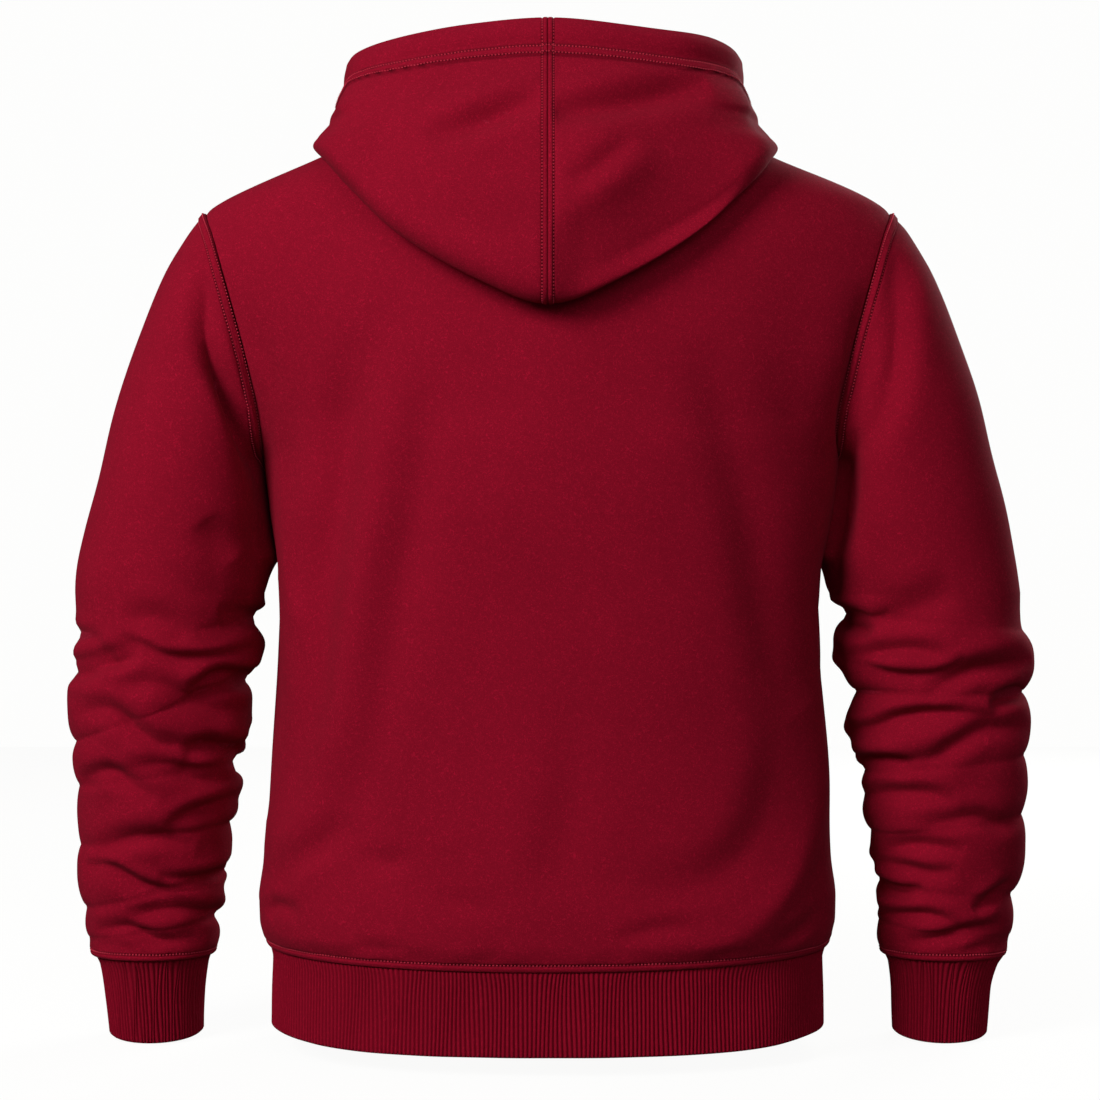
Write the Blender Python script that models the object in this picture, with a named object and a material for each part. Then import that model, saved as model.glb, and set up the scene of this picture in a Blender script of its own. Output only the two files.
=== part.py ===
"""Pullover hoodie with its hood down, filled out as if worn. Every sewn piece is a wall of cloth.

Metres, +Z up. The front faces -Y and +X is the wearer's left. The origin is midway between the two
high points of the shoulders, where the neck seam crosses the shoulder seams.
"""
import math
from collections import namedtuple

import bmesh
import bpy
import numpy as np

# Cloth
SEAM_GAP = 0.0003
FLEECE = 0.0025
RIB = 0.003
CASING = 0.0045
CASING_WIDTH = 0.027

# Body
NECK_HALF_WIDTH = 0.090
BACK_NECK_DROP = 0.012
FRONT_NECK_DROP = 0.075
SHOULDER_Z = -0.087
UNDERARM_Z = -0.285
BODY_END_Z = -0.6745
HEM_END_Z = -0.7335

# Grid: half a panel is 6 columns along the shoulder and 4 along the neck, and each piece that is
# sewn to a panel has a point at each of the panel's own
SHOULDER_COLUMNS = 6
NECK_COLUMNS = 4
HALF_COLUMNS = SHOULDER_COLUMNS + NECK_COLUMNS
ARMHOLE_STEPS = 8
SLEEVE_SIDES = 2 * ARMHOLE_STEPS
HEM_SIDES = 4 * HALF_COLUMNS
THROAT_STEP = 2 * NECK_COLUMNS
HOOD_COLUMNS = 2 * THROAT_STEP

# The filled form that the body panels lie on: torso, and above the underarm the upper arms too
Form = namedtuple("Form", "z half_width back front square")
BODY_FORM = [
    Form(-0.7335, 0.2200, 0.1440, 0.1430, 2.3),
    Form(-0.6850, 0.2192, 0.1390, 0.1390, 2.3),
    Form(-0.6745, 0.2212, 0.1390, 0.1390, 2.3),
    Form(-0.6660, 0.2266, 0.1430, 0.1430, 2.3),
    Form(-0.6540, 0.2292, 0.1460, 0.1460, 2.3),
    Form(-0.6340, 0.2296, 0.1465, 0.1465, 2.3),
    Form(-0.5960, 0.2252, 0.1435, 0.1450, 2.35),
    Form(-0.5160, 0.2206, 0.1410, 0.1440, 2.4),
    Form(-0.4360, 0.2157, 0.1430, 0.1460, 2.4),
    Form(-0.3720, 0.2136, 0.1455, 0.1480, 2.4),
    Form(-0.3250, 0.2168, 0.1475, 0.1490, 2.35),
    Form(-0.2850, 0.2215, 0.1475, 0.1480, 2.25),
    Form(-0.2500, 0.2600, 0.1460, 0.1450, 1.9),
    Form(-0.2000, 0.3000, 0.1430, 0.1380, 1.8),
    Form(-0.1400, 0.3050, 0.1350, 0.1220, 1.9),
    Form(-0.0870, 0.2735, 0.1220, 0.1030, 2.0),
    Form(-0.0440, 0.1828, 0.1040, 0.0880, 2.0),
    Form(-0.0200, 0.1322, 0.0880, 0.0760, 2.0),
    Form(0.0000, 0.0900, 0.0720, 0.0640, 2.0),
]
PANEL_HEIGHTS = (BODY_END_Z, -0.666, -0.654, -0.634, -0.596, -0.545, -0.490, -0.436, -0.372, -0.325,
                 UNDERARM_Z)
HEM_HEIGHTS = (BODY_END_Z - SEAM_GAP, -0.685, -0.708, HEM_END_Z)

Armhole = namedtuple("Armhole", "z x")
ARMHOLE = [
    Armhole(-0.285, 0.2215),
    Armhole(-0.262, 0.2240),
    Armhole(-0.235, 0.2282),
    Armhole(-0.206, 0.2340),
    Armhole(-0.172, 0.2427),
    Armhole(-0.135, 0.2535),
    Armhole(-0.110, 0.2620),
    Armhole(-0.087, 0.2735),
]

# Sleeve sections: the outer and the inner edge of each, and how far it reaches back and front of
# its middle. From the elbow down a section is the hollow or the crest of a fold.
Section = namedtuple("Section", "outer_x outer_z inner_x inner_z middle_y reach")
UPPER_SLEEVE = [
    Section(0.2900, -0.110, 0.2224, -0.290, 0.000, 0.0840),
    Section(0.3075, -0.140, 0.2230, -0.297, 0.000, 0.0870),
    Section(0.3275, -0.189, 0.2230, -0.309, 0.000, 0.0875),
    Section(0.3435, -0.240, 0.2222, -0.326, 0.000, 0.0860),
    Section(0.3570, -0.290, 0.2200, -0.346, -0.001, 0.0830),
    Section(0.3700, -0.340, 0.2185, -0.370, -0.003, 0.0795),
    Section(0.3780, -0.390, 0.2240, -0.391, -0.005, 0.0765),
]
LEFT_FOREARM = [
    Section(0.3745, -0.444, 0.2320, -0.409, -0.006, 0.0740),
    Section(0.3860, -0.479, 0.2267, -0.433, -0.008, 0.0780),
    Section(0.3780, -0.509, 0.2426, -0.460, -0.009, 0.0680),
    Section(0.3825, -0.525, 0.2360, -0.482, -0.010, 0.0720),
    Section(0.3780, -0.544, 0.2503, -0.525, -0.012, 0.0620),
    Section(0.3800, -0.562, 0.2461, -0.546, -0.014, 0.0660),
    Section(0.3770, -0.592, 0.2572, -0.575, -0.016, 0.0580),
    Section(0.3810, -0.614, 0.2555, -0.594, -0.018, 0.0620),
    Section(0.3730, -0.643, 0.2617, -0.615, -0.020, 0.0540),
    Section(0.3745, -0.655, 0.2598, -0.628, -0.022, 0.0570),
    Section(0.3710, -0.667, 0.2681, -0.651, -0.023, 0.0510),
    Section(0.3700, -0.675, 0.2660, -0.667, -0.024, 0.0510),
]
RIGHT_FOREARM = [
    Section(0.3805, -0.420, 0.2350, -0.407, -0.006, 0.0740),
    Section(0.3895, -0.444, 0.2287, -0.436, -0.007, 0.0780),
    Section(0.3787, -0.469, 0.2484, -0.469, -0.008, 0.0670),
    Section(0.3883, -0.497, 0.2398, -0.494, -0.009, 0.0720),
    Section(0.3830, -0.519, 0.2538, -0.532, -0.011, 0.0630),
    Section(0.3867, -0.538, 0.2500, -0.554, -0.013, 0.0660),
    Section(0.3815, -0.567, 0.2591, -0.582, -0.015, 0.0590),
    Section(0.3865, -0.595, 0.2583, -0.598, -0.017, 0.0620),
    Section(0.3733, -0.632, 0.2658, -0.623, -0.020, 0.0540),
    Section(0.3760, -0.651, 0.2642, -0.638, -0.021, 0.0570),
    Section(0.3735, -0.665, 0.2680, -0.655, -0.023, 0.0520),
    Section(0.3710, -0.676, 0.2664, -0.668, -0.024, 0.0510),
]
SLEEVE_END = Section(0.3660, -0.6815, 0.2725, -0.6815, -0.025, 0.0470)
CUFF_SECTIONS = [
    Section(0.3617, -0.6900, 0.2757, -0.6900, -0.026, 0.0450),
    Section(0.3577, -0.7150, 0.2787, -0.7150, -0.027, 0.0425),
    Section(0.3554, -0.7425, 0.2794, -0.7425, -0.029, 0.0410),
]
CUFF_TILT = 0.0037

# Hood lines, each from the centre back round to the throat. Turn is the angle round the neck seam.
HoodRow = namedtuple("HoodRow", "turn rim belly fold under fullness")
HOOD = [
    HoodRow(0, (0.000, 0.100, 0.0485), (0.000, 0.152, -0.045), (0.000, 0.160, -0.174),
            (0.000, 0.124, -0.070), 1.0),
    HoodRow(20, (0.058, 0.096, 0.0445), (0.062, 0.146, -0.041), (0.052, 0.155, -0.156),
            (0.045, 0.120, -0.064), 1.0),
    HoodRow(40, (0.105, 0.084, 0.0390), (0.118, 0.124, -0.030), (0.112, 0.137, -0.119),
            (0.095, 0.103, -0.052), 0.95),
    HoodRow(58, (0.138, 0.056, 0.0360), (0.153, 0.093, -0.018), (0.146, 0.117, -0.087),
            (0.122, 0.083, -0.040), 0.9),
    HoodRow(74, (0.155, 0.030, 0.0315), (0.162, 0.058, -0.010), (0.167, 0.086, -0.061),
            (0.135, 0.055, -0.026), 0.6),
    HoodRow(92, (0.160, -0.002, 0.0240), (0.166, 0.008, -0.009), (0.179, 0.018, -0.040),
            (0.140, 0.008, -0.014), 0.35),
    HoodRow(120, (0.143, -0.052, 0.0060), (0.157, -0.056, -0.020), (0.157, -0.058, -0.047),
            (0.120, -0.046, -0.018), 0.3),
    HoodRow(150, (0.085, -0.100, -0.0240), (0.090, -0.106, -0.036), (0.084, -0.104, -0.049),
            (0.068, -0.094, -0.048), 0.15),
    HoodRow(180, (0.000, -0.124, -0.0500), (0.000, -0.118, -0.055), (0.000, -0.111, -0.060),
            (0.000, -0.104, -0.064), 0.05),
]
# Where each section has its points, counted along its own guide points from the neck seam
HOOD_STOPS = (0, 0.5, 1, 1.5, 2, 3, 3.5, 4, 4.5, 5, 5.7)
STAND = (0.004, 0.018)
THROAT_STAND = 0.35
FOLD_IN = (-0.013, 0.020)
FOLD_OUT = (0.013, 0.026)

# Share of the way from the shoulder to the underarm over which the sleeve turns away from the body
UNDERARM_TURN = (0.55, 0.85)
FULL_TURN = 2 * math.pi
SHARP_EDGE = math.radians(50)
ROUGHNESS = 0.9
LEVEL = np.array([1.0, 1.0, 0.0])
UP = np.array([0.0, 0.0, 1.0])
OTHER_HAND = np.array([-1.0, 1.0, 1.0])
CRIMSON = (0.27, 0.006, 0.021, 1.0)
CRIMSON_RIB = (0.23, 0.005, 0.018, 1.0)


def monotone(keys, values, at):
    """Smooth interpolation that keeps the crests and hollows of the table."""
    keys = np.asarray(keys, float)
    values = np.asarray(values, float)
    steps = np.diff(keys)
    slopes = np.diff(values) / steps
    tangents = np.zeros(len(keys))
    for i in range(1, len(keys) - 1):
        if slopes[i - 1] * slopes[i] > 0:
            tangents[i] = 2.0 / (1.0 / slopes[i - 1] + 1.0 / slopes[i])
    tangents[0] = slopes[0]
    tangents[-1] = slopes[-1]
    i = int(np.clip(np.searchsorted(keys, at) - 1, 0, len(keys) - 2))
    t = (at - keys[i]) / steps[i]
    return ((2 * t**3 - 3 * t**2 + 1) * values[i] + (t**3 - 2 * t**2 + t) * steps[i] * tangents[i]
            + (3 * t**2 - 2 * t**3) * values[i + 1] + (t**3 - t**2) * steps[i] * tangents[i + 1])


def catmull(points, at):
    """Point on a smooth curve through points; at runs from 0 to the last index."""
    i = int(np.clip(math.floor(at), 0, len(points) - 2))
    t = at - i
    p1 = points[i]
    p2 = points[i + 1]
    p0 = points[i - 1] if i > 0 else 2 * p1 - p2
    p3 = points[i + 2] if i + 2 < len(points) else 2 * p2 - p1
    return 0.5 * (2 * p1 + (p2 - p0) * t + (2 * p0 - 5 * p1 + 4 * p2 - p3) * t**2
                  + (3 * p1 - p0 - 3 * p2 + p3) * t**3)


def unit(vector):
    return vector / np.linalg.norm(vector)


FORM_KEYS = [row.z for row in BODY_FORM]


def form_at(z, column):
    return monotone(FORM_KEYS, [getattr(row, column) for row in BODY_FORM], z)


def form_x(z, turn):
    """How far across the form is at this height and turn: 0 at the wearer's left, then the back."""
    across = math.cos(turn)
    return form_at(z, "half_width") * math.copysign(abs(across)**(2.0 / form_at(z, "square")), across)


def form_depth(x, z, side):
    """How far the form reaches in front (side -1) or behind (side 1) at this width and height."""
    square = form_at(z, "square")
    inside = max(0.0, 1.0 - (abs(x) / form_at(z, "half_width"))**square)
    return form_at(z, "back" if side > 0 else "front") * inside**(1.0 / square)


def form_value(point):
    x, y, z = point
    square = form_at(z, "square")
    depth = form_at(z, "back" if y > 0 else "front")
    return (abs(x) / form_at(z, "half_width"))**square + (abs(y) / depth)**square


def form_normal(point):
    """Outward normal of the form, from how its value changes over a short step each way."""
    step = 0.00005
    slope = [form_value(point + step * axis) - form_value(point - step * axis) for axis in np.eye(3)]
    return unit(np.array(slope))


def armhole_x(z):
    return monotone([row.z for row in ARMHOLE], [row.x for row in ARMHOLE], z)


def armhole_point(angle):
    """Point on the left armhole: 0 at the shoulder, pi under the arm, the back half first."""
    z = UNDERARM_Z + (SHOULDER_Z - UNDERARM_Z) * (1 + math.cos(angle)) / 2
    side = 1 if angle <= math.pi else -1
    x = armhole_x(z)
    at_end = math.isclose(math.sin(angle), 0.0, abs_tol=0.01)
    return np.array([x, side * (form_depth(x, z, side) + (0.0 if at_end else SEAM_GAP / 2)), z])


def neck_point(step):
    """Point on the left half of the neck seam: step 0 is the centre back, THROAT_STEP the throat."""
    turn = FULL_TURN / 4 * step / NECK_COLUMNS
    side = 1 if step <= NECK_COLUMNS else -1
    drop = BACK_NECK_DROP if side > 0 else FRONT_NECK_DROP
    x = NECK_HALF_WIDTH * math.sin(turn)
    z = -drop * math.cos(turn)**2
    return np.array([x, side * form_depth(x, z, side), z])


def panel_grid(side):
    """Rows of points from the hem seam up to the shoulder and neck seams, left edge first."""
    angles = [FULL_TURN / 4 * i / HALF_COLUMNS for i in range(HALF_COLUMNS + 1)]
    half = []
    for z in PANEL_HEIGHTS:
        half.append([(form_x(z, angle), z) for angle in angles])
    start = [x / form_at(UNDERARM_Z, "half_width") for x, z in half[-1]]
    top = []
    for i in range(HALF_COLUMNS + 1):
        if i <= SHOULDER_COLUMNS:
            z = SHOULDER_Z * (1 - i / SHOULDER_COLUMNS)
            top.append((form_at(z, "half_width"), z))
        else:
            point = neck_point(NECK_COLUMNS - side * (i - SHOULDER_COLUMNS))
            top.append((point[0], point[2]))
    shoulder_x = top[0][0]
    for step in range(1, ARMHOLE_STEPS + 1):
        rise = (1 - math.cos(math.pi * step / ARMHOLE_STEPS)) / 2
        edge_x = armhole_x(UNDERARM_Z + (SHOULDER_Z - UNDERARM_Z) * rise)
        row = []
        for i in range(HALF_COLUMNS + 1):
            share = start[i] + (top[i][0] / shoulder_x - start[i]) * rise
            z = UNDERARM_Z + (top[i][1] - UNDERARM_Z) * rise
            row.append((edge_x * share, z))
        half.append(row)
    grid = []
    for row in half:
        mirrored = row + [(-x, z) for x, z in reversed(row[:-1])]
        grid.append([np.array([x, side * (form_depth(x, z, side) + SEAM_GAP / 2), z])
                     for x, z in mirrored])
    return grid


def ring_normals(rings):
    """Outward normals of the points of a stack of rings."""
    normals = []
    for r, ring in enumerate(rings):
        above = rings[min(r + 1, len(rings) - 1)]
        below = rings[max(r - 1, 0)]
        centre = np.mean(ring, axis=0)
        line = []
        for c in range(len(ring)):
            along = ring[(c + 1) % len(ring)] - ring[c - 1]
            normal = unit(np.cross(along, above[c] - below[c]))
            line.append(normal if np.dot(normal, ring[c] - centre) > 0 else -normal)
        normals.append(line)
    return normals


def make_material(name, colour):
    material = bpy.data.materials.new(name)
    material.use_nodes = True
    shader = material.node_tree.nodes["Principled BSDF"]
    shader.inputs["Base Color"].default_value = colour
    shader.inputs["Roughness"].default_value = ROUGHNESS
    shader.inputs["Metallic"].default_value = 0.0
    return material


def make_wall(name, grid, normals, thickness, wraps, colour):
    """Closed wall of cloth: the grid is its outer face, and its inner face lies along -normals."""
    rows = len(grid)
    columns = len(grid[0])
    points = [tuple(point) for row in grid for point in row]
    for r in range(rows):
        points += [tuple(grid[r][c] - thickness[r] * normals[r][c]) for c in range(columns)]

    def strip(corners):
        return [face * rows * columns + r * columns + c % columns for r, c, face in corners]

    faces = []
    spans = range(columns if wraps else columns - 1)
    for r in range(rows - 1):
        for c in spans:
            for face in (0, 1):
                faces.append(strip([(r, c, face), (r, c + 1, face), (r + 1, c + 1, face), (r + 1, c, face)]))
    for r in (0, rows - 1):
        faces += [strip([(r, c, 0), (r, c + 1, 0), (r, c + 1, 1), (r, c, 1)]) for c in spans]
    if not wraps:
        for c in (0, columns - 1):
            faces += [strip([(r, c, 0), (r + 1, c, 0), (r + 1, c, 1), (r, c, 1)]) for r in range(rows - 1)]

    mesh = bpy.data.meshes.new(name)
    mesh.from_pydata(points, [], faces)
    shell = bmesh.new()
    shell.from_mesh(mesh)
    bmesh.ops.recalc_face_normals(shell, faces=shell.faces)
    shell.to_mesh(mesh)
    shell.free()
    mesh.shade_smooth()
    mesh.set_sharp_from_angle(angle=SHARP_EDGE)
    mesh.materials.append(make_material(name, colour))
    hoodie.objects.link(bpy.data.objects.new(name, mesh))


def build_panel(name, side):
    grid = panel_grid(side)
    normals = [[form_normal(point) for point in row] for row in grid]
    make_wall(name, grid, normals, [FLEECE] * len(grid), False, CRIMSON)


def section_ring(section, tilt=0.0):
    """Left-hand ring: 0 at its outer edge, a quarter turn on at its back."""
    outer = np.array([section.outer_x, section.middle_y, section.outer_z])
    inner = np.array([section.inner_x, section.middle_y, section.inner_z])
    middle = (outer + inner) / 2
    ring = []
    for i in range(SLEEVE_SIDES):
        angle = FULL_TURN * i / SLEEVE_SIDES
        back = np.array([0.0, section.reach, -tilt]) * math.sin(angle)
        ring.append(middle + (outer - middle) * math.cos(angle) + back)
    return ring


def between(first, second, share):
    return Section(*[a + (b - a) * share for a, b in zip(first, second)])


def armhole_ring():
    """The armhole moved out by the seam gap, with the body's own normals."""
    ring = []
    normals = []
    step = 0.01
    for i in range(SLEEVE_SIDES):
        angle = FULL_TURN * i / SLEEVE_SIDES
        point = armhole_point(angle)
        along = armhole_point((angle + step) % FULL_TURN) - armhole_point((angle - step) % FULL_TURN)
        normal = form_normal(point)
        across = unit(np.cross(normal, along))
        if across[0] < 0:
            across = -across
        ring.append(point + SEAM_GAP * across)
        normals.append(normal)
    return ring, normals


def build_sleeve(name, forearm, hand):
    """Set-in sleeve and its rib cuff; hand is 1 on the left and -1 on the right."""
    first, seam_normals = armhole_ring()
    folds = []
    lower = [UPPER_SLEEVE[-1]] + forearm + [SLEEVE_END]
    for a, b in zip(lower[:-1], lower[1:]):
        folds += [between(a, b, 0.5), b]
    rings = [first] + [section_ring(section) for section in UPPER_SLEEVE + folds]
    normals = ring_normals(rings)
    for i in range(SLEEVE_SIDES):
        under = 1 - abs(2 * i / SLEEVE_SIDES - 1)
        share = np.clip((under - UNDERARM_TURN[0]) / (UNDERARM_TURN[1] - UNDERARM_TURN[0]), 0, 1)
        normals[0][i] = unit(seam_normals[i] * (1 - share) + normals[0][i] * share)
        normals[-1][i] = unit(normals[-1][i] * LEVEL)
    make_wall("sleeve_" + name, by_hand(rings, hand), by_hand(normals, hand), [FLEECE] * len(rings),
              True, CRIMSON)

    seam_z = SLEEVE_END.outer_z - SEAM_GAP
    seam = SLEEVE_END._replace(outer_z=seam_z, inner_z=seam_z)
    sections = [seam] + CUFF_SECTIONS
    last = len(sections) - 1
    cuff = [section_ring(section, CUFF_TILT * i / last) for i, section in enumerate(sections)]
    build_band("cuff_" + name, by_hand(cuff, hand))


def by_hand(rows, hand):
    return [[point * np.array([hand, 1.0, 1.0]) for point in row] for row in rows]


def build_band(name, rings):
    normals = [[unit(normal * LEVEL) for normal in row] for row in ring_normals(rings)]
    make_wall(name, rings, normals, [RIB] * len(rings), True, CRIMSON_RIB)


def build_hem():
    rings = []
    for z in HEM_HEIGHTS:
        ring = []
        for i in range(HEM_SIDES):
            x = form_x(z, FULL_TURN * i / HEM_SIDES)
            side = 1 if i <= HEM_SIDES / 2 else -1
            ring.append(np.array([x, side * form_depth(x, z, side), z]))
        rings.append(ring)
    build_band("hem_band", rings)


def hood_line(column, at):
    """Point on a line round the hood; at runs from 0 at the centre back to the last row."""
    points = [np.array(getattr(row, column)) for row in HOOD]
    points = [points[1] * OTHER_HAND] + points + [points[-2] * OTHER_HAND]
    return catmull(points, at + 1)


def hood_section(step):
    """Section of the hood from the neck seam, over the fold, to the rim."""
    turn = 90.0 * step / NECK_COLUMNS
    at = monotone([row.turn for row in HOOD], range(len(HOOD)), turn)
    fullness = monotone(range(len(HOOD)), [row.fullness for row in HOOD], at)
    before = neck_point(math.floor(step))
    after = neck_point(min(math.floor(step) + 1, THROAT_STEP))
    neck = before + (after - before) * (step - math.floor(step))
    along = neck_point(min(step + 0.1, THROAT_STEP)) - neck_point(max(step - 0.1, 0))
    across = np.cross(form_normal(neck), along)
    neck = neck + SEAM_GAP * unit(across * math.copysign(1, across[2]))
    fold = hood_line("fold", at)
    out = unit(fold * LEVEL)

    def moved(point, offset, share):
        return point + share * (out * offset[0] + UP * offset[1])

    stand = moved(neck, STAND, max(fullness, THROAT_STAND))
    points = [neck, stand, hood_line("under", at), moved(fold, FOLD_IN, fullness), fold,
              moved(fold, FOLD_OUT, fullness), hood_line("belly", at), hood_line("rim", at)]
    return spread(points)


def spread(points):
    """Points along the smooth curve through the given ones, closer where it turns, casing last."""
    last = len(points) - 1
    casing = min(CASING_WIDTH / np.linalg.norm(points[-1] - points[-2]), 0.5)
    stops = HOOD_STOPS + (last - casing, last - 0.9 * casing, last)
    return [catmull(points, stop) for stop in stops]


def build_hood(name, hand):
    """Half a hood, with the other half's nearest sections beside its own to keep the seam square."""
    sections = [hood_section(THROAT_STEP * i / HOOD_COLUMNS) for i in range(HOOD_COLUMNS + 1)]
    before = [point * OTHER_HAND for point in sections[1]]
    after = [point * OTHER_HAND for point in sections[-2]]
    wider = [before] + sections + [after]
    last = len(before) - 1
    rows = []
    normals = []
    for r in range(last + 1):
        row = []
        line = []
        for c in range(1, HOOD_COLUMNS + 2):
            along = wider[c + 1][r] - wider[c - 1][r]
            up = wider[c][min(r + 1, last)] - wider[c][max(r - 1, 0)]
            line.append(unit(np.cross(up, along)))
            at_seam = c in (1, HOOD_COLUMNS + 1)
            row.append(wider[c][r] + np.array([SEAM_GAP / 2 if at_seam else 0.0, 0.0, 0.0]))
        rows.append(row)
        normals.append(line)
    thickness = [FLEECE] * (len(rows) - 2) + [CASING] * 2
    make_wall("hood_" + name, by_hand(rows, hand), by_hand(normals, hand), thickness, False, CRIMSON)


for leftover in list(bpy.data.objects):
    bpy.data.objects.remove(leftover, do_unlink=True)
hoodie = bpy.data.collections.new("pullover_hoodie")
bpy.context.scene.collection.children.link(hoodie)

build_panel("back_panel", 1)
build_panel("front_panel", -1)
build_sleeve("left", LEFT_FOREARM, 1)
build_sleeve("right", RIGHT_FOREARM, -1)
build_hem()
build_hood("left", 1)
build_hood("right", -1)
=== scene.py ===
import math

import bmesh
import bpy
import numpy as np
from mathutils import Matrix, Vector


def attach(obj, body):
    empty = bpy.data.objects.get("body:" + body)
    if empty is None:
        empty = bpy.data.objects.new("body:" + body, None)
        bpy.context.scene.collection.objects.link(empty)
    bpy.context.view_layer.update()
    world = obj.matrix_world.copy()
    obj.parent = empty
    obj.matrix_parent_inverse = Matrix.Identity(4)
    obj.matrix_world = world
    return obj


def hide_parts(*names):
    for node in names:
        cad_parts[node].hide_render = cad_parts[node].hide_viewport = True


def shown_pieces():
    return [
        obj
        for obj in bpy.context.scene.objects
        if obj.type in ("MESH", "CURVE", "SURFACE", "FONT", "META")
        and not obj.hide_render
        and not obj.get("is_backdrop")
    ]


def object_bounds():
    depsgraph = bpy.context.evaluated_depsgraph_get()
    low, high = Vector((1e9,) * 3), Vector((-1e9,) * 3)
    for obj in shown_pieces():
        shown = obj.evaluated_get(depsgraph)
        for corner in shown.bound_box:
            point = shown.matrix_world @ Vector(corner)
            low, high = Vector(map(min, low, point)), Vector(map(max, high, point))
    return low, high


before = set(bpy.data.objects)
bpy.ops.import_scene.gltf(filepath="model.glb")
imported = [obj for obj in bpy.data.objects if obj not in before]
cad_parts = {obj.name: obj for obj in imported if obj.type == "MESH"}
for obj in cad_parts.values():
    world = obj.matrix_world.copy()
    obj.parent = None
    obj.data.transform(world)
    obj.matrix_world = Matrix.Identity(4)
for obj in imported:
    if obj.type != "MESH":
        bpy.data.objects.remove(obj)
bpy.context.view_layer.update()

print("frame loaded:", ", ".join(sorted(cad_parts)))

seamGap = 0.0003
fleeceThickness = 0.0024
seamRound, edgeRound = 0.0005, 0.0011  # how far a sewn edge and a free edge are rounded off
handLeft, handRight = 1, -1
sideBack, sideFront = 1, -1


def addObject(name, data):
    thing = bpy.data.objects.new(name, data)
    bpy.context.scene.collection.objects.link(thing)
    return thing


# a short table with named columns, in mm but for the plain ones
def tableOf(columns, rows, *plain):
    return {name: values if name in plain else values / 1000
            for name, values in zip(columns.split(), np.array(rows, float).T)}


# a line through a table that keeps the table's own highs and lows
def steadyLine(keys, values, at):
    keys, values, at = (np.asarray(a, float) for a in (keys, values, at))
    steps = np.diff(keys)
    slopes = np.diff(values) / steps
    tangents = np.concatenate([slopes[:1], np.zeros(len(keys) - 2), slopes[-1:]])
    same = np.flatnonzero(slopes[:-1] * slopes[1:] > 0)
    tangents[same + 1] = 2 / (1 / slopes[same] + 1 / slopes[same + 1])
    i = np.clip(np.searchsorted(keys, at) - 1, 0, len(keys) - 2)
    t = (at - keys[i]) / steps[i]
    return ((2 * t**3 - 3 * t**2 + 1) * values[i] + (t**3 - 2 * t**2 + t) * steps[i] * tangents[i]
            + (3 * t**2 - 2 * t**3) * values[i + 1] + (t**3 - t**2) * steps[i] * tangents[i + 1])


# a column of a table at these heights; beyond the table's ends it keeps the end values
def columnAt(table, column, z):
    return steadyLine(table["z"], table[column], np.clip(z, table["z"][0], table["z"][-1]))


# a round line through values that stand at 0, 1, 2 and so on; a value may be a point or a ring
def roundLine(values, at):
    values, at = np.asarray(values, float), np.asarray(at, float)
    i = np.clip(np.floor(at).astype(int), 0, len(values) - 2)
    t = (at - i).reshape(at.shape + (1,) * (values.ndim - 1))
    ends = np.concatenate([[2 * values[0] - values[1]], values, [2 * values[-1] - values[-2]]])
    a, b, c, d = (ends[i + k] for k in range(4))
    return 0.5 * (2 * b + (c - a) * t + (2 * a - 5 * b + 4 * c - d) * t**2
                  + (3 * b - a - 3 * c + d) * t**3)


def unit(vectors):
    return vectors / np.maximum(np.linalg.norm(vectors, axis=-1, keepdims=True), 1e-12)


def easeIn(value):
    value = np.clip(value, 0, 1)
    return value * value * (3 - 2 * value)


def bell(value):
    return np.exp(-value**2)


# how far each point of a grid is from its first or last row (axis 0) or column (axis 1), along the cloth
def distanceAlong(grid, axis, fromEnd=False):
    if fromEnd:
        return np.flip(distanceAlong(np.flip(grid, axis), axis), axis)
    steps = np.linalg.norm(np.diff(grid, axis=axis), axis=-1)
    return np.concatenate([np.zeros_like(np.take(steps, [0], axis)), np.cumsum(steps, axis)], axis)


# outward normals of a grid of points; a grid that wraps is a tube
def gridNormals(grid, wraps, outward):
    if wraps:
        across = np.roll(grid, -1, 1) - np.roll(grid, 1, 1)
    else:
        across = np.gradient(grid, axis=1)
    normals = unit(np.cross(across, np.gradient(grid, axis=0)))
    return normals * np.sign(np.sum(normals * outward, axis=-1, keepdims=True) + 1e-9)


# slow uneven waver of cloth, between about -1 and 1
def waver(points, size, seed):
    picks = np.random.default_rng(seed)
    total = np.zeros(points.shape[:-1])
    for _ in range(8):
        way = unit(picks.normal(size=3))
        length = size * picks.uniform(0.7, 1.5)
        total += np.sin(points @ way * math.tau / length + picks.uniform(0, math.tau))
    return total / 4


# creases, all in mm: each is a path of (x, z), its depth (a ridge has a negative depth) and
# how far it spreads above and below the path
def creaseTable(rows):
    return [(np.array(path) / 1000, depth, above, below) for path, depth, above, below in rows]


# a narrow crease is crisp, and a hollow pushes up a soft lip on both sides of it
creaseKit = {"reach": 4.5, "crisp": 0.15, "narrow": 8, "toBroad": 4, "lip": 0.12, "upperLip": 0.16,
             "lipAt": 1.7, "taper": 0.7}


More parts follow.
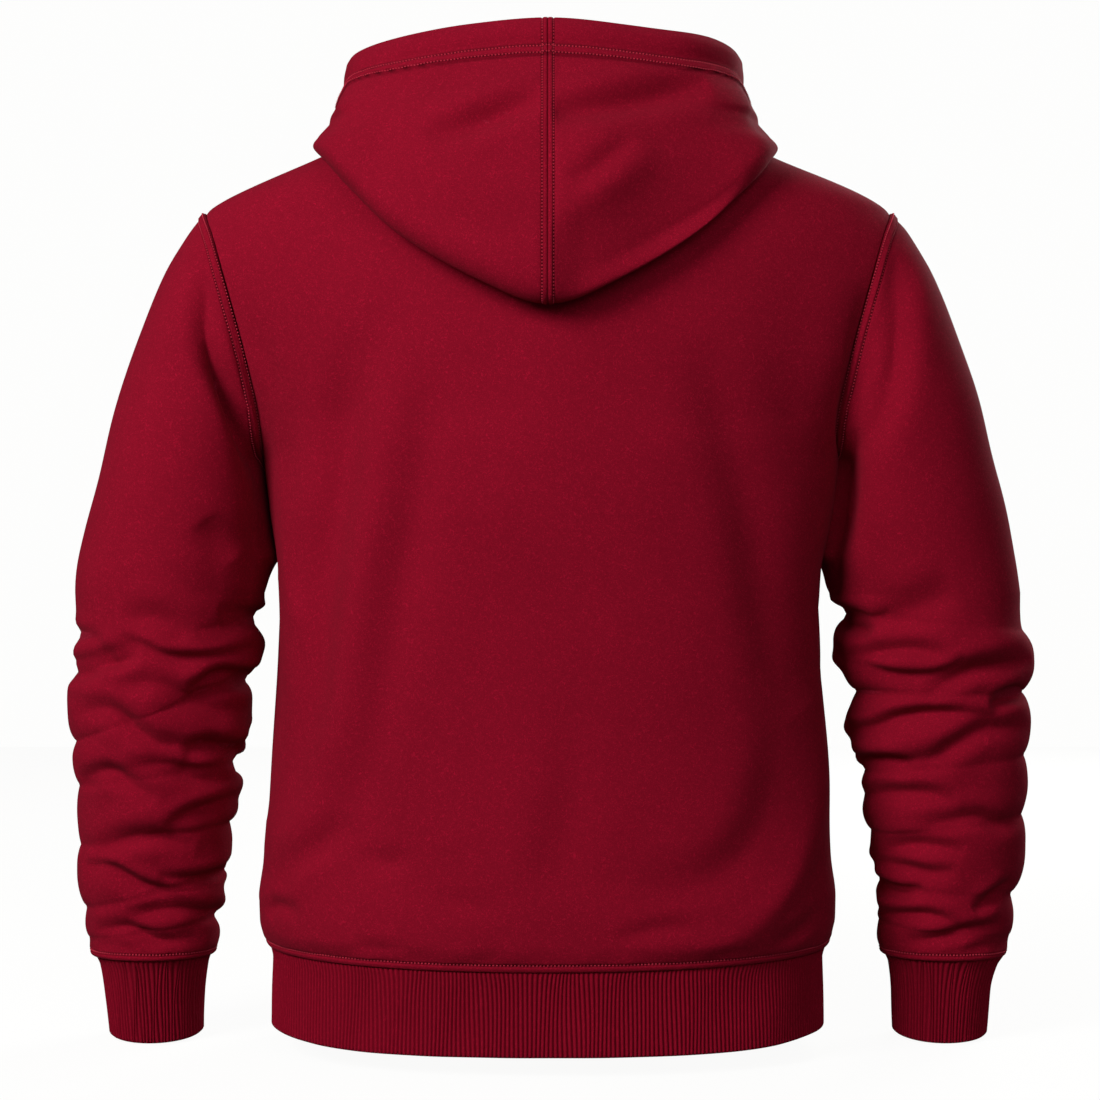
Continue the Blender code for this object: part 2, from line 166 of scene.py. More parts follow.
# how far the cloth moves out at (x, z) for its creases
def creaseHeight(x, z, creases, spread=1.0):
    lipAt = creaseKit["lipAt"]
    height = np.zeros_like(x)
    for path, depth, above, below in creases:
        line = roundLine(path, np.linspace(0, len(path) - 1, 8 * (len(path) - 1) + 1))
        reach = creaseKit["reach"] * spread * max(above, below) / 1000
        near = ((x > line[:, 0].min() - reach) & (x < line[:, 0].max() + reach)
                & (z > line[:, 1].min() - reach) & (z < line[:, 1].max() + reach))
        px, pz = x[near], z[near]
        best = np.full(px.shape, 1.0)
        share = np.zeros_like(px)
        over = np.zeros_like(px)
        broad = easeIn((max(above, below) - creaseKit["narrow"]) / creaseKit["toBroad"])
        crisp = creaseKit["crisp"] * (1 - broad)
        for k in range(len(line) - 1):
            run = line[k + 1] - line[k]
            t = np.clip(((px - line[k, 0]) * run[0] + (pz - line[k, 1]) * run[1]) / (run @ run), 0, 1)
            offX = px - line[k, 0] - t * run[0]
            offZ = pz - line[k, 1] - t * run[1]
            away = np.hypot(offX, offZ)
            closer = away < best
            best = np.where(closer, away, best)
            share = np.where(closer, (k + t) / (len(line) - 1), share)
            over = np.where(closer, offZ, over)
        over = easeIn(0.5 + 1.5 * over / np.maximum(best, 1e-6))
        width = spread * (below + (above - below) * over) / 1000
        fade = np.sin(math.pi * share)**creaseKit["taper"]
        shape = (1 - crisp) * bell(best / width) + crisp * np.exp(-3 * best / width)
        if depth > 0:
            lip = creaseKit["lip"] + creaseKit["upperLip"] * over
            shape -= lip * (bell((best - lipAt * width) / width) - bell(lipAt) * bell(best / width))
        height[near] -= depth / 1000 * fade * shape
    return height


# a flat raised strip between two distances from an edge
def stripHeight(distance, first, last, rise, ramp=0.0006):
    return rise * easeIn((distance - first) / ramp) * easeIn((last - distance) / ramp + 1)


# the thin hollow along each row of stitches, 1 in its middle
def stitchHollow(distance, rows, width=0.0007):
    return sum(bell((distance - at) / width) for at in rows)


hollowDepth = 0.0010  # of the hollow along a row of stitches


# the rolled coverstitched seam over a rib band, and where its stitches lie
rollKit = {"height": 0.0016, "middle": 0.0025, "half": 0.0024, "stitches": 0.0058}


def rollHeight(distance):
    across = (distance - rollKit["middle"]) / rollKit["half"]
    return rollKit["height"] * np.sqrt(np.clip(1 - across**2, 0, 1))


# edges of the cloth are rounded off
def edgeDip(distance, radius):
    inside = np.clip(radius - distance, 0, radius)
    return radius - np.sqrt(radius**2 - inside**2)


# a closed wall of cloth: its outer face is the whole grid, its inner face uses every few points of it
# its outer face is painted darker where the shade mask is 1: painted shade down in a seam, along stitches or
# between two ribs
def makeCloth(name, node, surface, normals, dip, paintedShade, thickness, skip, wraps, materials):
    rows, columns = surface.shape[:2]
    spans = columns if wraps else columns - 1
    rowSkip, columnSkip = skip
    assert (rows - 1) % rowSkip == 0 and spans % columnSkip == 0, (name, rows, columns)
    outer = surface - normals * dip[..., None]
    inner = (surface - normals * (thickness - dip)[..., None])[::rowSkip, ::columnSkip]
    innerRows, innerColumns = inner.shape[:2]
    innerSpans = spans // columnSkip
    start = rows * columns

    def outerAt(r, c):
        return r * columns + c % columns

    def innerAt(r, c):
        return start + r * innerColumns + c % innerColumns

    r, c = np.meshgrid(np.arange(rows - 1), np.arange(spans), indexing="ij")
    faces = np.stack([outerAt(r, c), outerAt(r, c + 1), outerAt(r + 1, c + 1), outerAt(r + 1, c)], -1)
    faces = faces.reshape(-1, 4).tolist()
    outerCount = len(faces)
    r, c = np.meshgrid(np.arange(innerRows - 1), np.arange(innerSpans), indexing="ij")
    inside = np.stack([innerAt(r, c), innerAt(r + 1, c), innerAt(r + 1, c + 1), innerAt(r, c + 1)], -1)
    inside = inside.reshape(-1, 4).tolist()
    faces += inside
    for outerRow, innerRow in ((0, 0), (rows - 1, innerRows - 1)):
        for k in range(innerSpans):
            rim = [outerAt(outerRow, k * columnSkip + i) for i in range(columnSkip + 1)]
            faces.append(rim + [innerAt(innerRow, k + 1), innerAt(innerRow, k)])
    if not wraps:
        for outerColumn, innerColumn in ((0, 0), (columns - 1, innerColumns - 1)):
            for k in range(innerRows - 1):
                rim = [outerAt(k * rowSkip + i, outerColumn) for i in range(rowSkip + 1)]
                faces.append(rim + [innerAt(k + 1, innerColumn), innerAt(k, innerColumn)])

    mesh = bpy.data.meshes.new(name)
    mesh.from_pydata(np.concatenate([outer.reshape(-1, 3), inner.reshape(-1, 3)]).tolist(), [], faces)
    for material in materials:
        mesh.materials.append(material)
    which = np.zeros(len(faces), int)
    which[outerCount:outerCount + len(inside)] = len(materials) - 1
    mesh.polygons.foreach_set("material_index", which)
    # painted shade: the mask is kept on the outer points for the material to darken them
    paintedShades = np.zeros(len(mesh.vertices))
    paintedShades[:start] = np.clip(paintedShade, 0, 1).reshape(-1)
    mesh.attributes.new("paintedHollowShade", "FLOAT", "POINT").data.foreach_set("value", paintedShades)
    shell = bmesh.new()
    shell.from_mesh(mesh)
    bmesh.ops.recalc_face_normals(shell, faces=shell.faces)
    shell.to_mesh(mesh)
    shell.free()
    mesh.shade_smooth()
    piece = addObject(name, mesh)
    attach(piece, "root")
    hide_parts(node)
    return piece


# a piece of fleece: its outer face sinks a little along its stitches, and there it is also painted with shade
# unless another shade mask is given
def makeFleece(name, node, clean, normals, dip, hollow, skip, wraps, paintedShade=None, thickness=fleeceThickness):
    surface = clean - normals * (hollowDepth * hollow)[..., None]
    return makeCloth(name, node, surface, normals, dip, hollow if paintedShade is None else paintedShade, thickness, skip,
                     wraps, [fleeceMaterial, insideMaterial])


# points and normals at one distance from the first row of a grid
def lineAtDistance(surface, normals, distance, at):
    row = np.clip((distance < at).sum(0) - 1, 0, len(surface) - 2)
    column = np.arange(surface.shape[1])
    low, high = distance[row, column], distance[row + 1, column]
    t = ((at - low) / (high - low))[:, None]
    return (surface[row, column] * (1 - t) + surface[row + 1, column] * t,
            unit(normals[row, column] * (1 - t) + normals[row + 1, column] * t))


threadKit = {"pitch": 0.0026, "length": 0.0013, "width": 0.0011, "height": 0.0008, "sunk": 0.0004}


# one row of machine stitches, each a small bead of thread lying on the cloth
def sewRows(name, lines, kit=threadKit, closed=False):
    around = np.arange(4) * math.tau / 4
    shape = [(along, size * math.cos(a), size * math.sin(a))
             for along, size in ((-0.5, 0.3), (-0.28, 1.0), (0.28, 1.0), (0.5, 0.3)) for a in around]
    shape = np.array(shape) * [kit["length"], kit["width"] / 2, kit["height"]]
    ringFaces = [[k * 4 + i, k * 4 + (i + 1) % 4, k * 4 + 4 + (i + 1) % 4, k * 4 + 4 + i]
                 for k in range(3) for i in range(4)]
    ringFaces += [[3, 2, 1, 0], [12, 13, 14, 15]]
    points, faces = [], []
    for path, normals in lines:
        if closed:
            path, normals = np.concatenate([path, path[:1]]), np.concatenate([normals, normals[:1]])
        length = np.concatenate([[0], np.cumsum(np.linalg.norm(np.diff(path, axis=0), axis=1))])
        count = int(length[-1] / kit["pitch"])
        stops = (np.arange(count) + 0.5) * length[-1] / count

        def read(values, away=0.0):
            return np.stack([np.interp(stops + away, length, values[:, k]) for k in range(3)], -1)

        up = unit(read(normals))
        along = unit(read(path, 0.001) - read(path, -0.001))
        side = unit(np.cross(up, along))
        at = read(path) - up * kit["sunk"]
        bead = (at[:, None] + along[:, None] * shape[None, :, :1] + side[:, None] * shape[None, :, 1:2]
                + up[:, None] * shape[None, :, 2:])
        base = sum(len(p) for p in points) + np.arange(count) * len(shape)
        points.append(bead.reshape(-1, 3))
        for first in base:
            faces += [[int(first) + i for i in face] for face in ringFaces]
    mesh = bpy.data.meshes.new(name)
    mesh.from_pydata(np.concatenate(points).tolist(), [], faces)
    mesh.materials.append(threadMaterial)
    mesh.shade_smooth()
    piece = addObject(name, mesh)
    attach(piece, "root")
    return piece


# materials
def newMaterial(name):
    material = bpy.data.materials.new(name)
    material.use_nodes = True
    return material, material.node_tree.nodes, material.node_tree.links


def setInputs(node, values):
    for socket, value in values.items():
        node.inputs[socket].default_value = value


def colourRamp(nodes, *stops):
    ramp = nodes.new("ShaderNodeValToRGB")
    for element, (position, colour) in zip(ramp.color_ramp.elements, stops):
        element.position = position
        element.color = colour
    return ramp


# the hollow of each kit is how strongly its colour is darkened by painted shade in seams, along stitches and
# between ribs
fleeceKit = {"dark": (0.180, 0.0024, 0.0125, 1), "light": (0.385, 0.0062, 0.0285, 1),
             "roughness": 0.9, "sheen": 0.05, "nap": 0.5, "hollow": 0.95}
insideKit = {"dark": (0.19, 0.003, 0.014, 1), "light": (0.42, 0.012, 0.042, 1),
             "roughness": 0.94, "sheen": 0.12, "nap": 0.8, "hollow": 0.0}
ribKit = {"dark": (0.20, 0.0022, 0.0130, 1), "light": (0.33, 0.0050, 0.0245, 1),
          "roughness": 0.9, "sheen": 0.04, "nap": 0.35, "hollow": 0.45}


# knitted cotton: a fine worm-like grain, slow patches of colour, a soft nap, and painted shade that darkens
# the colour where the mesh's shade attribute says
def knitMaterial(name, kit, grain, stretch=(1, 1, 1)):
    material, nodes, links = newMaterial(name)
    shader = nodes["Principled BSDF"]
    place = nodes.new("ShaderNodeTexCoord")
    mapping = nodes.new("ShaderNodeMapping")
    setInputs(mapping, {"Scale": stretch})
    links.new(place.outputs["Object"], mapping.inputs["Vector"])

    def noise(scale, detail, vector, distortion=0.0):
        texture = nodes.new("ShaderNodeTexNoise")
        setInputs(texture, {"Scale": scale, "Detail": detail, "Distortion": distortion})
        links.new(vector, texture.inputs["Vector"])
        return texture.outputs["Fac"]

    def ranged(value, low, high, toLow, toHigh):
        node = nodes.new("ShaderNodeMapRange")
        node.interpolation_type = "SMOOTHSTEP"
        setInputs(node, {"From Min": low, "From Max": high, "To Min": toLow, "To Max": toHigh})
        links.new(value, node.inputs["Value"])
        return node.outputs["Result"]

    def combined(operation, first, second):
        node = nodes.new("ShaderNodeMath")
        node.operation = operation
        for socket, value in zip(node.inputs, (first, second)):
            if isinstance(value, (int, float)):
                socket.default_value = value
            else:
                links.new(value, socket)
        return node.outputs[0]

    def blended(first, share, second, rest):
        return combined("ADD", combined("MULTIPLY", first, share), combined("MULTIPLY", second, rest))

    # loose ends of the knit lie on it as thin curling lines
    curls = noise(grain, 0, mapping.outputs["Vector"], 2.0)
    curls = ranged(combined("ABSOLUTE", combined("SUBTRACT", curls, 0.5), 0), 0.0, 0.06, 1, 0)
    specks = noise(grain * 3.4, 1, mapping.outputs["Vector"])
    patches = noise(14, 4, place.outputs["Object"])
    fine = blended(curls, 0.65, specks, 0.35)
    tone = blended(fine, 0.8, patches, 0.2)
    ramp = colourRamp(nodes, (0.1, kit["dark"]), (0.85, kit["light"]))
    links.new(tone, ramp.inputs["Fac"])
    # painted shade: the colour is mixed towards a fifth of its dark tone as far as the shade attribute and
    # the kit's hollow say
    hollow = nodes.new("ShaderNodeAttribute")
    hollow.attribute_name = "paintedHollowShade"
    paintedShadeMix = nodes.new("ShaderNodeMix")
    paintedShadeMix.data_type = "RGBA"
    paintedShadeMix.inputs[7].default_value = [part * 0.2 for part in kit["dark"][:3]] + [1]
    links.new(combined("MULTIPLY", hollow.outputs["Fac"], kit["hollow"]), paintedShadeMix.inputs[0])
    links.new(ramp.outputs["Color"], paintedShadeMix.inputs[6])
    links.new(paintedShadeMix.outputs[2], shader.inputs["Base Color"])
    links.new(ranged(fine, 0, 1, kit["roughness"], 1), shader.inputs["Roughness"])
    bump = nodes.new("ShaderNodeBump")
    setInputs(bump, {"Strength": kit["nap"], "Distance": 0.0008})
    links.new(fine, bump.inputs["Height"])
    links.new(bump.outputs["Normal"], shader.inputs["Normal"])
    setInputs(shader, {"Specular IOR Level": 0.04, "Sheen Weight": kit["sheen"], "Sheen Roughness": 0.5,
                       "Sheen Tint": (1.0, 0.18, 0.28, 1)})
    return material


def makeThreadMaterial():
    material, nodes, links = newMaterial("crimsonThread")
    shader = nodes["Principled BSDF"]
    place = nodes.new("ShaderNodeTexCoord")
    ply = nodes.new("ShaderNodeTexNoise")
    setInputs(ply, {"Scale": 1500})
    links.new(place.outputs["Object"], ply.inputs["Vector"])
    ramp = colourRamp(nodes, (0, (0.42, 0.014, 0.038, 1)), (1, (0.62, 0.036, 0.074, 1)))
    links.new(ply.outputs["Fac"], ramp.inputs["Fac"])
    links.new(ramp.outputs["Color"], shader.inputs["Base Color"])
    setInputs(shader, {"Roughness": 0.6, "Specular IOR Level": 0.15})
    return material


fleeceMaterial = knitMaterial("crimsonFleece", fleeceKit, 340)
insideMaterial = knitMaterial("brushedInside", insideKit, 240)
ribMaterial = knitMaterial("crimsonRib", ribKit, 420, (1, 1, 0.45))
threadMaterial = makeThreadMaterial()
print("materials made")

# the filled form under the body, in mm: how wide, how deep behind and in front, and how square
bodyForm = tableOf("z halfWidth back front square", [
    (-733.5, 220, 144, 143, 2.3),
    (-685, 219.2, 139, 139, 2.3),
    (-674.5, 221.2, 139, 139, 2.3),
    (-666, 226.6, 143, 143, 2.3),
    (-654, 229.2, 146, 146, 2.3),
    (-634, 229.6, 146.5, 146.5, 2.3),
    (-596, 225.2, 143.5, 145, 2.35),
    (-516, 220.6, 141, 144, 2.4),
    (-436, 215.7, 143, 146, 2.4),
    (-372, 213.6, 145.5, 148, 2.4),
    (-325, 216.8, 147.5, 149, 2.35),
    (-285, 221.5, 147.5, 148, 2.25),
    (-250, 245, 146, 145, 1.95),
    (-200, 282, 143, 138, 1.85),
    (-140, 302, 135, 122, 1.9),
    (-87, 273.5, 122, 103, 2.0),
    (-44, 182.8, 104, 88, 2.0),
    (-20, 132.2, 88, 76, 2.0),
    (0, 90, 72, 64, 2.0),
], "square")
armhole = tableOf("z x", [
    (-285, 221.5), (-262, 224), (-235, 228.2), (-206, 234),
    (-172, 242.7), (-135, 253.5), (-110, 262), (-87, 273.5),
])
bodyKit = {"neckHalfWidth": 0.090, "backNeckDrop": 0.012, "frontNeckDrop": 0.075, "shoulderZ": -0.087,
           "underarmZ": -0.285, "endZ": -0.6745, "hemZ": -0.7335}
shoulderSteps, neckSteps = 6, 4  # the pattern's own steps along half a shoulder and half a neck
throatStep = 2 * neckSteps


def formAt(z, column):
    return steadyLine(bodyForm["z"], bodyForm[column], z)


def formX(z, turn):
    across = np.cos(turn)
    return formAt(z, "halfWidth") * np.sign(across) * np.abs(across)**(2 / formAt(z, "square"))


def formDepth(x, z, side):
    square = formAt(z, "square")
    inside = np.clip(1 - (np.abs(x) / formAt(z, "halfWidth"))**square, 0, 1)
    return formAt(z, "back" if side > 0 else "front") * inside**(1 / square)


def formValue(points):
    x, y, z = points[..., 0], points[..., 1], points[..., 2]
    square = formAt(z, "square")
    depth = np.where(y > 0, formAt(z, "back"), formAt(z, "front"))
    return (np.abs(x) / formAt(z, "halfWidth"))**square + (np.abs(y) / depth)**square


def formNormals(points):
    step = 0.00005
    slope = [formValue(points + step * axis) - formValue(points - step * axis) for axis in np.eye(3)]
    return unit(np.stack(slope, -1))


# the hem hangs a little lower at the middle of the back and front than at the sides
def hemLift(x, z):
    share = np.clip(np.abs(x) / formAt(z, "halfWidth"), 0, 1)**2
    side = steadyLine([-1, -hemCurve["foot"], -hemCurve["seam"], 0],
                      [hemCurve["low"], hemCurve["low"], hemCurve["high"], hemCurve["high"]], z)
    lift = (hemCurve["middle"] + (side - hemCurve["middle"]) * share) * easeIn((hemCurve["from"] - z) / 0.07)
    return lift - steadyLine(hemFoot["share"], hemFoot["drop"], share) / 1000 * easeIn(-(z + 0.68) / 0.04)


hemCurve = {"high": 0.0068, "low": 0.0030, "middle": 0.0038, "from": -0.60, "seam": 0.672, "foot": 0.7335}
hemFoot = tableOf("share drop", [(0, 4.1), (0.37, 4.0), (0.60, 3.1), (0.75, 1.8), (0.90, 0.5), (1, 0.3)],
                  "share", "drop")


def armholeX(z):
    return steadyLine(armhole["z"], armhole["x"], z)


def neckLine(step):
    turn = step * math.pi / 2 / neckSteps
    drop = np.where(step <= neckSteps, bodyKit["backNeckDrop"], bodyKit["frontNeckDrop"])
    x = bodyKit["neckHalfWidth"] * np.sin(turn)
    z = -drop * np.cos(turn)**2
    y = np.where(step <= neckSteps, formDepth(x, z, sideBack), -formDepth(x, z, sideFront))
    return np.stack([x, y, z], -1)


# creases and ridges of the body
backCreases = creaseTable([
    ([(108, -190), (120, -238), (131, -304), (143, -381), (155, -471), (171, -525), (189, -575),
      (209, -612)], -7.5, 16, 26),
    ([(86, -230), (98, -310), (112, -390), (127, -480), (146, -560)], 4.0, 16, 16),
    ([(144, -190), (152, -240), (158, -295), (167, -348), (173, -409), (180, -470),
      (201, -570)], 9.5, 13, 24),
    ([(213, -250), (204, -320), (198, -380), (188, -420), (177, -455)], -3.0, 8, 8),
    ([(222, -380), (214, -440), (212, -500), (222, -570)], 4.0, 14, 14),
    ([(208, -612), (186, -592), (166, -574), (146, -558)], 4.5, 12, 12),
    ([(140, -583), (121, -590), (100, -586)], 2.6, 9, 9),
    ([(198, -622), (182, -603), (163, -592)], -2.6, 9, 9),
    ([(217, -640), (208, -630), (188, -633)], 4.0, 6, 7),
    ([(85, -612), (62, -620), (35, -626)], 2.2, 10, 10),
    ([(21, -508), (17, -557), (26, -610)], -2.0, 18, 18),
    ([(-12, -470), (-18, -540), (-4, -610)], 2.0, 16, 16),
    ([(-116, -195), (-128, -244), (-152, -328), (-168, -417), (-185, -455), (-200, -475)], 5.0, 20, 20),
    ([(-154, -440), (-174, -500), (-168, -548), (-152, -580), (-127, -600), (-98, -607),
      (-66, -604)], 4.2, 18, 18),
    ([(-206, -450), (-212, -507), (-209, -550), (-195, -592), (-177, -619), (-151, -642), (-118, -654),
      (-70, -658)], -5.0, 13, 12),
    ([(-168, -656), (-190, -648), (-214, -632)], 3.0, 7, 7),
    ([(-48, -646), (-82, -638), (-118, -637)], 2.0, 7, 7),
    ([(-222, -140), (-218, -200), (-212, -260), (-211, -330), (-208, -400)], -6.5, 24, 24),
    ([(145, -652), (125, -655), (104, -652)], 2.0, 6, 6),
    ([(232, -180), (214, -215), (206, -240)], 2.0, 9, 9),
])
frontCreases = creaseTable([
    ([(-150, -300), (-158, -380), (-166, -460), (-184, -545), (-203, -585)], -5.0, 16, 16),
    ([(-195, -385), (-183, -450), (-190, -520)], 5.0, 14, 14),
    ([(120, -240), (134, -320), (150, -410), (152, -500), (120, -580)], 4.5, 23, 23),
    ([(196, -450), (184, -520), (150, -590), (90, -618)], -4.5, 18, 18),
    ([(-20, -480), (-30, -550), (-12, -620)], 2.2, 24, 24),
    ([(40, -470), (46, -560), (30, -630)], -2.0, 22, 22),
    ([(-165, -170), (-175, -230), (-160, -290)], 3.0, 20, 20),
    ([(160, -165), (178, -225), (166, -285)], 3.0, 20, 20),
    ([(-60, -120), (-20, -140), (30, -138), (70, -118)], 1.8, 16, 16),
    ([(-120, -648), (-85, -638), (-45, -646)], 2.0, 8, 8),
])


# a panel's points: its columns are counted at the side, to the neck and along the neck, and its rows at the
# hem, to the underarm and above it
def panelGrid(side, columnCounts, rowCounts):
    edge, shoulder, neck = columnCounts
    edgeEnd, hemStrip = 0.36, 0.008  # in pattern steps, and in metres
    index = np.concatenate([np.linspace(0, edgeEnd, edge, endpoint=False),
                            np.linspace(edgeEnd, shoulderSteps, shoulder, endpoint=False),
                            np.linspace(shoulderSteps, shoulderSteps + neckSteps, neck)])
    turn = index * math.pi / 2 / (shoulderSteps + neckSteps)
    bottom, lower, upper = rowCounts
    low, under = bodyKit["endZ"], bodyKit["underarmZ"]
    z = np.concatenate([np.linspace(low, low + hemStrip, bottom, endpoint=False),
                        np.linspace(low + hemStrip, under, lower)])[:, None]
    lowerX = formX(z, turn[None, :])
    lowerZ = np.broadcast_to(z, lowerX.shape)
    start = lowerX[-1] / formAt(under, "halfWidth")
    neckPart = neckLine(neckSteps - side * (index - shoulderSteps))
    slopeZ = bodyKit["shoulderZ"] * (1 - index / shoulderSteps)
    onShoulder = index <= shoulderSteps
    topZ = np.where(onShoulder, slopeZ, neckPart[:, 2])
    topX = np.where(onShoulder, formAt(slopeZ, "halfWidth"), neckPart[:, 0])
    rise = ((1 - np.cos(math.pi * np.arange(1, upper + 1) / upper)) / 2)[:, None]
    upperX = armholeX(under + (bodyKit["shoulderZ"] - under) * rise) * (
        start + (topX / topX[0] - start) * rise)
    upperZ = under + (topZ - under) * rise
    x = np.concatenate([lowerX, upperX])
    z = np.concatenate([lowerZ, upperZ])
    x = np.concatenate([x, -x[:, -2::-1]], 1)
    z = np.concatenate([z, z[:, -2::-1]], 1)
    return np.stack([x, side * (formDepth(x, z, side) + seamGap / 2), z + hemLift(x, z)], -1)


# under the arm the body fills out and the sleeve lies against it: how far each goes out, in mm
underarm = tableOf("z body sleeve", [
    (-400, 0.0, 0.0), (-382, 0.1, 0.0), (-370, 0.3, -1.3), (-362, 1.1, -3.2), (-346, 3.0, -1.5),
    (-326, 4.5, -0.5), (-309, 5.1, 1.3), (-297, 5.3, 2.9), (-285, 4.7, 4.7), (-262, 2.5, 2.5),
    (-235, 0.0, 0.0), (-220, 0.0, 0.0),
], "body", "sleeve")


def besideArm(points, column):
    x, y, z = points[..., 0], points[..., 1], points[..., 2]
    out = columnAt(underarm, column, z) / 1000
    out = out * easeIn(1 - (np.abs(y) - 0.02) / 0.06) * easeIn((0.30 - np.abs(x)) / 0.05)
    return points + (out * np.sign(x))[..., None] * np.array([1, 0, 0])


panelKit = {"sideCalm": 0.016, "topCalm": 0.03, "hemCalm": 0.012, "wave": 0.0009, "waveSize": 0.13,
            "pucker": 0.0007, "puckerSize": 0.028, "puckerAt": 0.010, "flange": 0.0060, "flangeRise": 0.0004,
            "shoulderDrop": 0.0018, "seamPull": 0.0006, "seamStitches": 0.0055}


def buildPanel(name, node, side, creases, kit):
    base = panelGrid(side, kit["columns"], kit["rows"])
    normals = formNormals(base)
    base = besideArm(base, "body")
    x, z = base[..., 0], base[..., 2]
    fromSide = np.minimum(distanceAlong(base, 1), distanceAlong(base, 1, True))
    fromTop = distanceAlong(base, 0, True)
    fromHem = distanceAlong(base, 0)
    inside = (easeIn(fromSide / panelKit["sideCalm"]) * easeIn(fromTop / panelKit["topCalm"])
              * easeIn((fromHem - 0.006) / panelKit["hemCalm"]))
    height = creaseHeight(x, z, creases) * inside
    height += panelKit["wave"] * waver(base, panelKit["waveSize"], kit["seed"]) * inside
    pucker = bell((fromHem - panelKit["puckerAt"]) / 0.010) * easeIn((fromHem - 0.004) / 0.004)
    height += panelKit["pucker"] * waver(base, panelKit["puckerSize"], kit["seed"] + 1) * pucker
    fromCorner = easeIn(fromSide / 0.006)
    height += stripHeight(fromTop, 0.0004, panelKit["flange"], panelKit["flangeRise"]) * fromCorner
    height -= panelKit["shoulderDrop"] * bell(fromTop / 0.04)
    aboveArm = easeIn((z - bodyKit["underarmZ"] + 0.01) / 0.04)
    height -= panelKit["seamPull"] * np.exp(-fromSide / 0.004) * aboveArm
    height += rollHeight(fromHem) * easeIn(fromSide / 0.001)
    # the stitch hollows sink the cloth and are also painted with shade
    hollow = (stitchHollow(fromTop, [panelKit["seamStitches"]]) * fromCorner
              + stitchHollow(fromHem, [rollKit["stitches"]]))
    clean = base + normals * height[..., None]
    dip = edgeDip(np.minimum(np.minimum(fromSide, fromTop), fromHem), seamRound)
    piece = makeFleece(name, node, clean, normals, dip, hollow, kit["skip"], False)
    path, up = lineAtDistance(clean, normals, fromHem, rollKit["stitches"])
    sewRows(name + "HemStitches", [(path[4:-4], up[4:-4])], coverKit)
    print(name, "made")


coverKit = {"pitch": 0.0027, "length": 0.0015, "width": 0.0014, "height": 0.0011, "sunk": 0.0005}
buildPanel("backPanel", "back_panel", sideBack, backCreases,
           {"columns": (12, 58, 37), "rows": (15, 152, 95), "skip": (3, 4), "seed": 11,
            "flat": (0.62, 0.74), "area": 0.405})
buildPanel("frontPanel", "front_panel", sideFront, frontCreases,
           {"columns": (12, 44, 29), "rows": (15, 112, 72), "skip": (3, 4), "seed": 23,
            "flat": (0.62, 0.72), "area": 0.39})

# sleeve sections, in mm: the outer and the inner edge of each, and how far it reaches back and front of
# its middle; from the elbow down they are in turn the hollow and the crest of a fold
upperSleeve = [
    (290, -110, 222.4, -290, 0, 84),
    (307.5, -140, 223, -297, 0, 87),
    (327.5, -189, 223, -309, 0, 87.5),
    (343.5, -240, 222.2, -326, 0, 86),
    (357, -290, 220, -346, -1, 83),
    (370, -340, 218.5, -370, -3, 79.5),
    (378, -390, 224, -391, -5, 76.5),
]
leftForearm = [
    (374.5, -444, 232, -409, -6, 74),
    (386, -479, 226.7, -433, -8, 78),
    (378, -509, 242.6, -460, -9, 68),
    (382.5, -525, 236, -482, -10, 72),
    (378, -544, 250.3, -525, -12, 62),
    (380, -562, 246.1, -546, -14, 66),
    (377, -592, 257.2, -575, -16, 58),
    (381, -614, 255.5, -594, -18, 62),
    (373, -643, 261.7, -615, -20, 54),
    (374.5, -655, 259.8, -628, -22, 57),
    (371, -667, 268.1, -651, -23, 51),
    (370, -675, 266, -667, -24, 51),
]
rightForearm = [
    (380.5, -420, 235, -407, -6, 74),
    (389.5, -444, 228.7, -436, -7, 78),
    (378.7, -469, 248.4, -469, -8, 67),
    (388.3, -497, 239.8, -494, -9, 72),
    (383, -519, 253.8, -532, -11, 63),
    (386.7, -538, 250, -554, -13, 66),
    (381.5, -567, 259.1, -582, -15, 59),
    (386.5, -595, 258.3, -598, -17, 62),
    (373.3, -632, 265.8, -623, -20, 54),
    (376, -651, 264.2, -638, -21, 57),
    (373.5, -665, 268, -655, -23, 52),
    (371, -676, 266.4, -668, -24, 51),
]
sleeveEnd = (366, -681.5, 272.5, -681.5, -25, 47)
sectionColumns = "outerX outerZ innerX innerZ middleY reach"
firstFold = len(upperSleeve)

